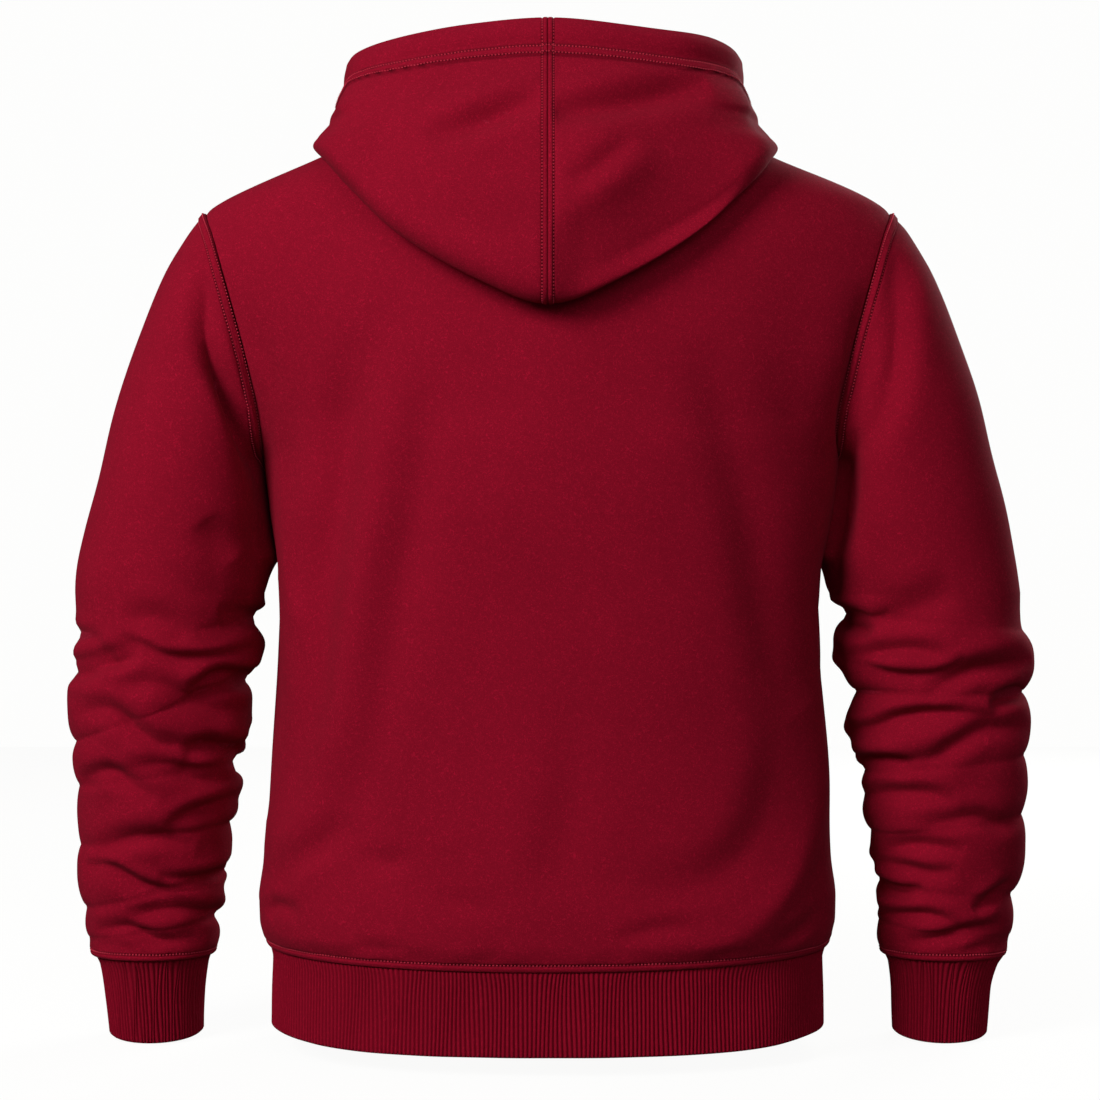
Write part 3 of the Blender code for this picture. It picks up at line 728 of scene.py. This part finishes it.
leftCreases = creaseTable([
    ([(345, -421), (368, -419), (392, -419)], 3.5, 5, 5),
    ([(345, -434), (372, -433), (395, -433)], -3.0, 8, 8),
    ([(345, -449), (372, -449), (395, -449)], 4.0, 5, 5),
    ([(264, -140), (263, -185), (256, -212), (246, -230), (235, -255), (226, -285), (220, -320)], 10.0, 8, 9),
    ([(262, -195), (250, -222), (240, -245), (232, -268), (226, -290)], 6.0, 6, 6),
    ([(229, -310), (226, -350), (226, -395)], 3.0, 10, 10),
    ([(266, -333), (256, -346), (244, -360)], 3.0, 12, 12),
    ([(330, -405), (309, -403), (293, -408), (276, -418)], 3.5, 9, 9),
    ([(336, -417), (312, -427), (293, -434), (271, -436), (250, -434), (228, -428)], 5.0, 4, 9),
    ([(372, -446), (350, -439), (334, -438), (316, -432)], 7.0, 8, 5),
    ([(334, -459), (309, -454), (295, -457), (278, -467), (256, -476), (230, -479)], 4.5, 9, 7),
    ([(224, -457), (247, -451), (261, -453), (277, -462)], 9.0, 6, 8),
    ([(374, -481), (348, -475), (334, -480), (319, -493), (302, -503), (280, -504), (255, -497)], 5.5, 7, 7),
    ([(230, -519), (251, -509), (266, -507), (284, -514)], 8.0, 6, 7),
    ([(330, -522), (307, -519), (290, -522), (273, -531), (246, -536)], 4.5, 7, 7),
    ([(370, -536), (353, -526), (339, -526), (324, -535), (306, -547)], 4.5, 6, 7),
    ([(240, -548), (263, -554), (280, -559), (299, -568)], 4.5, 5, 8),
    ([(364, -593), (334, -580), (314, -577), (297, -579), (277, -585)], 4.5, 8, 6),
    ([(372, -602), (346, -601), (331, -608), (314, -617), (293, -622), (250, -621)], 4.5, 4, 8),
    ([(306, -609), (280, -613), (261, -611), (245, -605)], 4.5, 5, 5),
    ([(334, -642), (307, -637), (285, -637), (268, -642), (250, -639)], 4.5, 6, 5),
    ([(362, -654), (336, -650), (322, -654), (305, -661), (278, -659)], 4.0, 5, 5),
    ([(216, -407), (237, -403), (256, -404)], 4.0, 10, 8),
])
rightCreases = creaseTable([
    ([(-249, -175), (-239, -210), (-229, -245), (-222, -278), (-218, -321), (-218, -350)], 5.5, 19, 17),
    ([(-271, -126), (-269, -170), (-266, -213), (-255, -254), (-240, -283)], 5.5, 10, 10),
    ([(-232, -262), (-228, -320), (-224, -360), (-225, -392)], 7.0, 9, 9),
    ([(-254, -405), (-277, -400), (-294, -393), (-315, -381)], 4.5, 12, 11),
    ([(-218, -402), (-238, -410), (-252, -418)], 6.5, 8, 7),
    ([(-224, -435), (-246, -434), (-263, -430), (-287, -429), (-314, -437)], 4.5, 6, 5),
    ([(-225, -440), (-248, -444), (-265, -449), (-287, -450), (-309, -445), (-325, -434)], 4.0, 4, 8),
    ([(-292, -466), (-316, -453), (-335, -445), (-357, -442), (-384, -438)], 7.0, 8, 5),
    ([(-378, -462), (-358, -467), (-345, -475)], 6.0, 5, 6),
    ([(-228, -497), (-253, -491), (-270, -482), (-292, -478), (-316, -478), (-350, -481)], 6.5, 4, 9),
    ([(-270, -518), (-299, -515), (-316, -504), (-338, -493), (-357, -491), (-384, -491)], 5.5, 7, 7),
    ([(-234, -524), (-263, -519), (-286, -523)], 6.5, 6, 6),
    ([(-236, -555), (-260, -544), (-280, -542), (-299, -543), (-320, -549)], 4.5, 6, 7),
    ([(-290, -570), (-316, -564), (-338, -562), (-357, -568), (-378, -562)], 4.0, 7, 6),
    ([(-257, -595), (-280, -585), (-301, -584), (-327, -588)], 4.0, 6, 6),
    ([(-248, -601), (-277, -602), (-299, -606), (-322, -603)], 3.5, 5, 6),
    ([(-247, -616), (-275, -624), (-297, -620)], 4.5, 5, 5),
    ([(-259, -646), (-284, -641), (-304, -641), (-327, -648)], 4.5, 5, 5),
    ([(-285, -662), (-311, -658), (-333, -652), (-364, -648)], 4.5, 5, 5),
    ([(-370, -614), (-349, -628), (-335, -636)], 4.5, 5, 5),
])
sleeveKit = {"columns": 192, "rows": (14, 78, 205), "flat": (0.47, 0.60), "area": 0.235, "skip": (4, 4),
             "flange": 0.0066, "flangeRise": 0.0014, "stitches": (0.0011, 0.0074), "depth": 1.4,
             "spread": 1.2, "overlap": 0.22, "drop": 0.0045, "pulledIn": 0.0012, "wave": 0.0012,
             "waveSize": 0.10, "ripple": 0.0005, "rippleSize": 0.035, "pucker": 0.0008, "puckerSize": 0.022}


# a fold is full and round at its crest and tight in its hollow
def foldShare(share):
    return (1 - (1 - share)**2.2)**0.8


def sleeveRings(forearm, hand, turn):
    sections = tableOf(sectionColumns, upperSleeve + forearm + [sleeveEnd])
    count = len(sections["outerX"])
    edge, upper, lower = sleeveKit["rows"]
    at = np.concatenate([np.linspace(-1, -0.62, edge, endpoint=False),
                         np.linspace(-0.62, firstFold - 1, upper, endpoint=False),
                         np.linspace(firstFold - 1, count - 1, lower)])

    def smooth(column):
        return roundLine(sections[column], np.clip(at, 0, None))

    def mean(column):
        values = sections[column].copy()
        before, own, after = values[firstFold - 1:-2], values[firstFold:-1], values[firstFold + 1:]
        values[firstFold:-1] = (before + 2 * own + after) / 4
        return roundLine(values, np.clip(at, 0, None))

    def folded(column):
        values = sections[column]
        i = np.clip(np.floor(at).astype(int), 0, count - 2)
        share = at - i
        rising = (i - firstFold) % 2 == 0
        share = np.where(rising, foldShare(np.clip(share, 0, 1)), 1 - foldShare(np.clip(1 - share, 0, 1)))
        return np.where(at < firstFold - 1, smooth(column), values[i] + (values[i + 1] - values[i]) * share)

    def ring(outerX, outerZ, innerX, innerZ, middleY, reach):
        outer = np.stack([outerX, middleY, outerZ], -1)[:, None]
        inner = np.stack([innerX, middleY, innerZ], -1)[:, None]
        back = np.stack([0 * reach, reach, 0 * reach], -1)[:, None]
        return ((outer + inner) / 2 + (outer - inner) / 2 * np.cos(turn)[None, :, None]
                + back * np.sin(turn)[None, :, None])

    reach = mean("reach") + 0.35 * (folded("reach") - mean("reach"))
    grid = ring(folded("outerX"), smooth("outerZ"), folded("innerX"), smooth("innerZ"), smooth("middleY"),
                reach)

    # the top of the sleeve runs from the armhole into its first sections
    z = bodyKit["underarmZ"] + (bodyKit["shoulderZ"] - bodyKit["underarmZ"]) * (1 + np.cos(turn)) / 2
    side = np.where(np.sin(turn) >= 0, 1.0, -1.0)
    x = armholeX(z)
    depth = np.where(side > 0, formDepth(x, z, sideBack), formDepth(x, z, sideFront))
    seam = np.stack([x, side * depth, z], -1)
    along = np.roll(seam, -1, 0) - np.roll(seam, 1, 0)
    across = unit(np.cross(formNormals(seam), along))
    across *= np.sign(across[:, :1])
    seam = seam + seamGap * across
    whole = [ring(*[sections[c][k:k + 1] for c in sectionColumns.split()])[0] for k in range(3)]
    top = roundLine([seam] + whole, at[at < 1] + 1)
    grid[at < 1] = top
    return besideArm(grid, "sleeve") * [hand, 1, 1]


def buildSleeve(name, node, forearm, hand, backFolds, frontFolds, seed):
    turn = np.arange(sleeveKit["columns"]) * math.tau / sleeveKit["columns"]
    base = sleeveRings(forearm, hand, turn)
    normals = gridNormals(base, True, base - base.mean(1, keepdims=True))
    x, z = base[..., 0], base[..., 2]
    fromTop = distanceAlong(base, 0)
    fromCuff = distanceAlong(base, 0, True)
    facing = np.broadcast_to(np.sin(turn), x.shape)
    inside = easeIn((fromTop - 0.004) / 0.014) * easeIn((fromCuff - 0.005) / 0.010)
    lower = z + sleeveKit["drop"] * easeIn(-(z + 0.34) / 0.05)
    spread, overlap = sleeveKit["spread"], sleeveKit["overlap"]
    height = creaseHeight(x, lower, backFolds, spread) * easeIn((facing + overlap) / 0.5)
    height += creaseHeight(x, lower, frontFolds, spread) * easeIn((overlap - facing) / 0.5)
    height = height * sleeveKit["depth"] - sleeveKit["pulledIn"] * easeIn(-(z + 0.36) / 0.06)
    ripple = sleeveKit["ripple"] * waver(base, sleeveKit["rippleSize"], seed + 1) * easeIn(-(z + 0.36) / 0.1)
    height += sleeveKit["wave"] * waver(base, sleeveKit["waveSize"], seed) + ripple
    # where it lies against the body it neither swells into it nor sinks away from it
    atBody = easeIn((-np.cos(turn) - 0.82) / 0.15) * easeIn((z + 0.392) / 0.02)
    touching = easeIn((-np.cos(turn) - 0.93) / 0.05) * easeIn((z + 0.375) / 0.02)
    height *= inside * (1 - np.where(height > 0, atBody, touching))
    pucker = bell((fromCuff - 0.010) / 0.008) * easeIn((fromCuff - 0.004) / 0.004)
    height += sleeveKit["pucker"] * waver(base, sleeveKit["puckerSize"], seed + 2) * pucker
    height += (stripHeight(fromTop, 0.0002, sleeveKit["flange"], sleeveKit["flangeRise"], 0.0005)
               + rollHeight(fromCuff))
    # the stitch hollows sink the cloth and are also painted with shade
    hollow = stitchHollow(fromTop, sleeveKit["stitches"]) + stitchHollow(fromCuff, [rollKit["stitches"]])
    clean = base + normals * height[..., None]
    dip = edgeDip(np.minimum(fromTop, fromCuff), seamRound)
    piece = makeFleece(name, node, clean, normals, dip, hollow, sleeveKit["skip"], True)
    sewRows(name + "ArmholeStitches", [lineAtDistance(clean, normals, fromTop, away)
                                       for away in sleeveKit["stitches"]], closed=True)
    flipped = clean[::-1], normals[::-1], fromCuff[::-1]
    sewRows(name + "CuffStitches", [lineAtDistance(*flipped, rollKit["stitches"])], coverKit, closed=True)
    print(name, "made")


# the side that faces the wearer's front has its own folds, like those of the other sleeve
def turnedOver(creases, drop):
    return [(path * [-1, 1] + [0, drop], depth, above, below) for path, depth, above, below in creases]


buildSleeve("sleeveLeft", "sleeve_left", leftForearm, handLeft, leftCreases,
            turnedOver(rightCreases, -0.004), 31)
buildSleeve("sleeveRight", "sleeve_right", rightForearm, handRight, rightCreases,
            turnedOver(leftCreases, 0.003), 47)

# rib knit bands
hemKit = {"ribs": 356, "perRib": 6, "rows": 25, "rise": 0.0019, "thickness": 0.0038, "skip": (4, 6),
          "flat": (1.00, 0.062), "area": 0.062}
cuffKit = {"ribs": 86, "perRib": 6, "rows": 33, "rise": 0.0018, "thickness": 0.0036, "skip": (4, 6),
           "flat": (0.22, 0.065), "area": 0.0143, "tilt": 0.0037}
cuffSections = [
    (366, -681.8, 272.5, -681.8, -25, 47),
    (361.7, -690, 275.7, -690, -26, 45),
    (357.7, -715, 278.7, -715, -27, 42.5),
    (355.4, -745, 279.4, -745, -29, 41),
]


ribShape = np.array([1.0, 0.93, 0.6, 0.0, 0.6, 0.93])  # from one crest down and up to the next


# a band of real ribs round a ring; ringAt gives its points for a share of the height and of the way round
def buildRibbing(name, node, ringAt, kit, seed):
    columns = kit["ribs"] * kit["perRib"]
    down = np.linspace(0, 1, kit["rows"])**1.15
    down = np.concatenate([down[:-3], [0.965, 0.985, 1.0]])[:, None]
    around = (np.arange(columns) / columns)[None, :]
    picks = np.random.default_rng(seed)
    # the ribs lean a little at their top and drift all the way down
    lean = sum(np.sin(math.tau * (around * k + picks.uniform())) for k in (9, 14, 23)) / 3
    drift = sum(np.sin(math.tau * (around * k + picks.uniform() + down * picks.uniform(0.3, 0.9)))
                for k in (17, 31)) / 2
    shift = (0.9 * lean * np.exp(-down / 0.22) + 0.28 * drift) / kit["ribs"]
    size = len(down), columns
    down = np.broadcast_to(down, size)
    base = ringAt(down, (around + shift) % 1)
    smooth = ringAt(down, np.broadcast_to(around, size))
    normals = unit(gridNormals(smooth, True, smooth - smooth.mean(1, keepdims=True)) * [1, 1, 0])
    rib = np.broadcast_to(ribShape[np.arange(columns) % kit["perRib"]], size)
    fromTop = distanceAlong(smooth, 0)
    fromEdge = distanceAlong(smooth, 0, True)
    height = kit["rise"] * (rib - 1) * easeIn(fromTop / 0.002 + 0.3)
    height += 0.0006 * waver(smooth, 0.06, seed) * easeIn(fromTop / 0.01)
    surface = base + normals * height[..., None]
    dip = np.maximum(edgeDip(fromTop, seamRound), edgeDip(fromEdge, edgeRound))
    # 1 - rib is painted shade: the colour darkens down between two ribs
    piece = makeCloth(name, node, surface, normals, dip, 1 - rib, kit["thickness"] - kit["rise"] / 2,
                      kit["skip"], True, [ribMaterial])
    print(name, "made")


# the hem's ring is spaced evenly along its own length
hemTurns = np.linspace(0, math.tau, 6001)
midZ = (bodyKit["endZ"] + bodyKit["hemZ"]) / 2
hemSide = np.where(hemTurns <= math.pi, 1.0, -1.0)
hemX = formX(midZ, hemTurns)
hemY = hemSide * np.where(hemSide > 0, formDepth(hemX, midZ, sideBack), formDepth(hemX, midZ, sideFront))
hemLength = np.concatenate([[0], np.cumsum(np.hypot(np.diff(hemX), np.diff(hemY)))])


def hemRing(down, around):
    z = bodyKit["endZ"] - seamGap + (bodyKit["hemZ"] - bodyKit["endZ"] + seamGap) * down
    turn = np.interp(around * hemLength[-1], hemLength, hemTurns)
    x = formX(z, turn)
    power = 2 / formAt(z, "square")
    depth = np.where(turn <= math.pi, formAt(z, "back"), -formAt(z, "front"))
    return np.stack([x, depth * np.abs(np.sin(turn))**power, z + hemLift(x, z)], -1)


def cuffRing(hand):
    sections = tableOf(sectionColumns, cuffSections)
    last = len(cuffSections) - 1

    def ring(down, around):
        heights = -sections["outerZ"]
        at = heights[0] + (heights[-1] - heights[0]) * down
        outerX, innerX, middleY, reach = (steadyLine(heights, sections[c], at)
                                          for c in ("outerX", "innerX", "middleY", "reach"))
        if hand == handRight:  # the right cuff is a little wider at its top
            outerX = outerX + 0.003 * easeIn((heights[1] + 0.02 - at) / 0.03)
        turn = around * math.tau
        x = (outerX + innerX) / 2 + (outerX - innerX) / 2 * np.cos(turn)
        y = middleY + reach * np.sin(turn)
        tilt = cuffKit["tilt"] * steadyLine(heights, np.arange(last + 1) / last, at)
        return np.stack([hand * x, y, -at - tilt * np.sin(turn)], -1)
    return ring


buildRibbing("hemBand", "hem_band", hemRing, hemKit, 5)
buildRibbing("cuffLeft", "cuff_left", cuffRing(handLeft), cuffKit, 6)
buildRibbing("cuffRight", "cuff_right", cuffRing(handRight), cuffKit, 7)

# hood rows from the centre back round to the throat: the angle round the neck seam, then points in mm on
# the rim, the belly, the fold and the layer under it, and how full the hood is there
hoodRows = [
    (0, (0, 100, 48.5), (0, 152, -45), (0, 160, -174), (0, 124, -70), 1.0),
    (20, (58, 96, 44.5), (62, 146, -41), (52, 155, -156), (45, 120, -64), 1.0),
    (40, (105, 84, 39), (118, 124, -30), (112, 137, -119), (95, 103, -52), 0.95),
    (58, (138, 56, 36), (153, 93, -18), (146, 117, -87), (122, 83, -40), 0.9),
    (74, (155, 30, 31.5), (162, 58, -10), (167, 86, -61), (135, 55, -26), 0.6),
    (92, (160, -2, 24), (166, 8, -9), (179, 18, -40), (140, 8, -14), 0.35),
    (120, (143, -52, 6), (157, -56, -20), (157, -58, -47), (120, -46, -18), 0.3),
    (150, (85, -100, -24), (90, -106, -36), (84, -104, -49), (68, -94, -48), 0.15),
    (180, (0, -124, -50), (0, -118, -55), (0, -111, -60), (0, -104, -64), 0.05),
]
hoodKit = {"stand": (0.004, 0.018), "throatStand": 0.35, "foldIn": (-0.013, 0.020), "foldOut": (0.013, 0.026),
           "casing": 0.027, "tape": 0.0092, "flange": 0.0036, "centreStitches": 0.0036 + 0.0006,
           "casingThicker": 0.0016, "depth": 1.7, "wave": 0.0010, "waveSize": 0.09, "pucker": 0.0004,
           "puckerSize": 0.018, "edgePuff": 0.0030, "edgeTrough": 0.0020, "tapeRise": 0.0018, "skip": (3, 4),
           "rows": (8, 14, 18, 14, 17, 40, 25, 60), "flat": (0.46, 0.37), "area": 0.135}
leftHoodCreases = creaseTable([
    ([(90, -48), (66, -40), (46, -33), (24, -25), (2, -18)], 5.5, 9, 12),
    ([(140, -40), (120, -70), (87, -102), (50, -118), (12, -128)], 1.6, 16, 14),
    ([(132, -10), (100, -4), (60, -3)], 1.0, 12, 12),
])
rightHoodCreases = creaseTable([
    ([(-2, -34), (-23, -27), (-58, -19), (-90, -11), (-122, -2)], 5.5, 10, 13),
    ([(-16, -85), (-34, -76), (-48, -64), (-62, -50)], 2.0, 8, 10),
    ([(-6, -162), (-34, -151), (-62, -134), (-103, -103), (-145, -66)], 3.5, 36, 42),
    ([(-3, -117), (-31, -97), (-55, -78), (-82, -56)], -2.5, 14, 14),
])
hoodShape = {handLeft: (0.0, -0.0007), handRight: (0.036, 0.0053)}  # how much narrower and higher the edge is
hoodSag = {handLeft: (0.0, 0.0), handRight: (0.006, 0.008)}  # how far its foot and its side lie in

# how far the side of the hood goes out or in at each height, in mm
hoodSide = tableOf("z out", [
    (-58, 0.0), (-44, 1.6), (-33, -2.3), (-23, -2.0), (-14, 2.4), (-4, 1.5), (5, -0.5),
    (14, -1.6), (24, -1.2), (32, 0.0),
], "out")


def buildHood(name, node, hand, creases, seed):
    turns = np.array([row[0] for row in hoodRows], float)
    step = np.concatenate([np.linspace(0, 0.13, 12, endpoint=False), np.linspace(0.13, throatStep, 149)])
    at = steadyLine(turns, np.arange(len(turns)), step * 90 / neckSteps)
    fullness = steadyLine(np.arange(len(turns)), [row[5] for row in hoodRows], at)[:, None]

    def hoodLine(which):
        points = np.array([row[which] for row in hoodRows]) / 1000
        before, after = points[1] * [-1, 1, 1], points[-2] * [-1, 1, 1]
        return roundLine(np.concatenate([[before], points, [after]]), at + 1)

    neck = neckLine(step)
    along = np.gradient(neck, axis=0)
    across = unit(np.cross(formNormals(neck), along))
    neck = neck + seamGap * across * np.sign(across[:, 2:])
    rim, belly, fold, under = (hoodLine(k) for k in (1, 2, 3, 4))
    out = unit(fold * [1, 1, 0])

    def moved(points, offset, share):
        return points + share * (out * offset[0] + np.array([0, 0, offset[1]]))

    guide = [neck, moved(neck, hoodKit["stand"], np.maximum(fullness, hoodKit["throatStand"])), under,
             moved(fold, hoodKit["foldIn"], fullness), fold, moved(fold, hoodKit["foldOut"], fullness),
             belly, rim]
    counts = hoodKit["rows"]
    stops = [np.linspace(k, k + 1, counts[k], endpoint=False) for k in range(6)]
    stops += [np.linspace(6, 6.6, counts[6], endpoint=False), np.linspace(6.6, 7, counts[7])]
    base = roundLine(guide, np.concatenate(stops))
    base[:, 0, 0] = base[:, -1, 0] = 0.0
    across = np.gradient(base, axis=1)
    across[:, 0] *= [1, 0, 0]
    across[:, -1] *= [1, 0, 0]
    normals = unit(np.cross(np.gradient(base, axis=0), across))
    base[..., 0] -= 0.00002
    narrower, higher = hoodShape[hand]
    upper = easeIn((base[..., 2] + 0.07) / 0.05)
    base[..., 0] *= 1 - narrower * upper * easeIn((base[..., 0] - 0.05) / 0.09)
    base[..., 2] += higher * bell((base[..., 0] - 0.130) / 0.040) * easeIn((base[..., 2] - 0.012) / 0.02)
    out = columnAt(hoodSide, "out", base[..., 2]) / 1000
    base[..., 0] += out * easeIn((base[..., 0] - 0.11) / 0.03)
    outside = easeIn((np.arange(len(base)) - sum(counts[:4])) / 16)[:, None]
    foot, turned = hoodSag[hand]
    base[..., 1] -= outside * (foot * easeIn(-(base[..., 2] + 0.05) / 0.08) * easeIn(base[..., 0] / 0.03)
                               + turned * easeIn((base[..., 0] - 0.010) / 0.11))
    base, normals = base * [hand, 1, 1], normals * [hand, 1, 1]

    fromNeck = distanceAlong(base, 0)
    fromRim = distanceAlong(base, 0, True)
    fromCentre = distanceAlong(base, 1)
    fromThroat = distanceAlong(base, 1, True)
    x, z = base[..., 0], base[..., 2]
    calm = (easeIn(fromCentre / 0.010) * easeIn((fromRim - 0.02) / 0.03) * easeIn(fromNeck / 0.03)
            * easeIn(fromThroat / 0.02))
    height = hoodKit["depth"] * creaseHeight(x, z, creases) * outside * calm
    height += hoodKit["wave"] * waver(base, hoodKit["waveSize"], seed) * calm
    casing, tape = hoodKit["casing"], hoodKit["tape"]
    height += 0.0008 * easeIn((casing - fromRim) / 0.002)
    middle = 1 - 0.6 * easeIn((np.abs(x) - 0.10) / 0.05)
    height += middle * (hoodKit["edgePuff"] * bell((fromRim - 0.011) / 0.009)
                        - hoodKit["edgeTrough"] * bell((fromRim - casing + 0.003) / 0.004))
    height += stripHeight(fromRim, casing, casing + tape, hoodKit["tapeRise"])
    flangeRise = 0.0010 - 0.0006 * easeIn(1 - fromRim / 0.006)
    height += stripHeight(fromCentre, 0.0003, hoodKit["flange"], flangeRise)
    height += (hoodKit["pucker"] * waver(base, hoodKit["puckerSize"], seed + 1)
               * bell((fromRim - casing - tape / 2) / 0.008) * easeIn(fromThroat / 0.02))
    tapeRows = casing + 0.0013, casing + tape - 0.0010
    hollow = stitchHollow(fromRim, tapeRows) + stitchHollow(fromCentre, [hoodKit["centreStitches"]])
    clean = base + normals * height[..., None]
    # painted shade: along the stitches, and in thin dark lines just outside both edges of the tape
    paintedShade = (hollow + 0.6 * bell((fromRim - casing + 0.0012) / 0.0014)
             + 0.5 * bell((fromRim - casing - tape - 0.0012) / 0.0012))
    thickness = fleeceThickness + hoodKit["casingThicker"] * easeIn((casing - fromRim) / 0.002)
    dip = np.maximum(edgeDip(np.minimum(fromNeck, fromCentre), seamRound),
                     edgeDip(np.minimum(fromRim, fromThroat), edgeRound))
    piece = makeFleece(name, node, clean, normals, dip, hollow, hoodKit["skip"], False, paintedShade, thickness)
    flipped = np.swapaxes(clean, 0, 1), np.swapaxes(normals, 0, 1), np.swapaxes(fromCentre, 0, 1)
    path, up = lineAtDistance(*flipped, hoodKit["centreStitches"])
    first = sum(counts[:3])
    sewRows(name + "CentreStitches", [(path[first:-2], up[first:-2])])
    rows = []
    turnedRows = clean[::-1], normals[::-1], fromRim[::-1]
    for away in tapeRows:
        path, up = lineAtDistance(*turnedRows, away)
        keep = fromRim[0] > 0.2
        rows.append((path[keep], up[keep]))
    sewRows(name + "CasingStitches", rows)
    print(name, "made")


buildHood("hoodLeft", "hood_left", handLeft, leftHoodCreases, 61)
buildHood("hoodRight", "hood_right", handRight, rightHoodCreases, 67)

# studio
stageKit = {"white": 0.985, "paper": (1, 0.999, 0.994, 1), "ambient": 0.10, "floorGap": 0.001, "floorHalf": 3}
lampKit = [  # name, place, size, power, colour
    ("keyLight", (1.78, 1.98, 1.05), 1.25, 82, (1.0, 0.985, 0.97)),
    ("fillLight", (-0.8, 2.8, 0.9), 1.8, 23, (1.0, 1.0, 1.0)),
    ("frontLight", (-1.5, -2.1, 0.9), 1.6, 62, (1.0, 1.0, 1.0)),
]
cameraKit = {"place": (-0.0016, 2.0, -0.356), "lens": 81.8, "sensor": 36.0}


def buildStage():
    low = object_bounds()[0].z - stageKit["floorGap"]
    mesh = bpy.data.meshes.new("floor")
    half = stageKit["floorHalf"]
    corners = [(x * half, y * half, low) for x, y in ((-1, -1), (1, -1), (1, 1), (-1, 1))]
    mesh.from_pydata(corners, [], [(0, 1, 2, 3)])
    floor = addObject("floor", mesh)
    # a lit white floor: it shows only a trace of shadow and throws no light up into the folds
    floor.visible_diffuse = False
    floor.visible_glossy = False
    material, nodes, _ = newMaterial("paleFloor")
    setInputs(nodes["Principled BSDF"], {
        "Base Color": (0.06, 0.06, 0.06, 1), "Roughness": 1.0, "Specular IOR Level": 0.0,
        "Emission Color": stageKit["paper"], "Emission Strength": stageKit["white"] - 0.04})
    mesh.materials.append(material)
    floor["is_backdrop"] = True

    world = bpy.data.worlds.new("paleStudio")
    world.use_nodes = True
    bpy.context.scene.world = world
    nodes, links = world.node_tree.nodes, world.node_tree.links
    seen = nodes["Background"]
    setInputs(seen, {"Color": stageKit["paper"], "Strength": stageKit["white"]})
    lit = nodes.new("ShaderNodeBackground")
    setInputs(lit, {"Strength": stageKit["ambient"]})
    path = nodes.new("ShaderNodeLightPath")
    mix = nodes.new("ShaderNodeMixShader")
    links.new(path.outputs["Is Camera Ray"], mix.inputs["Fac"])
    links.new(lit.outputs["Background"], mix.inputs[1])
    links.new(seen.outputs["Background"], mix.inputs[2])
    links.new(mix.outputs["Shader"], nodes["World Output"].inputs["Surface"])

    target = Vector((0, 0, -0.36))
    for name, place, size, power, colour in lampKit:
        data = bpy.data.lights.new(name, "AREA")
        data.size = size
        data.energy = power
        data.color = colour
        lamp = addObject(name, data)
        lamp.location = place
        lamp.rotation_euler = (target - Vector(place)).to_track_quat("-Z", "Y").to_euler()


buildStage()
data = bpy.data.cameras.new("camera")
data.lens = cameraKit["lens"]
data.sensor_width = cameraKit["sensor"]
camera = addObject("camera", data)
camera.location = cameraKit["place"]
camera.rotation_euler = (math.pi / 2, 0, math.pi)
bpy.context.scene.camera = camera
bpy.context.scene.view_settings.view_transform = "Standard"
bpy.context.scene.view_settings.look = "None"
print("studio made")

triangles = sum(len(p.vertices) - 2 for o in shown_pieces() for p in o.data.polygons)
print("triangles shown:", triangles)
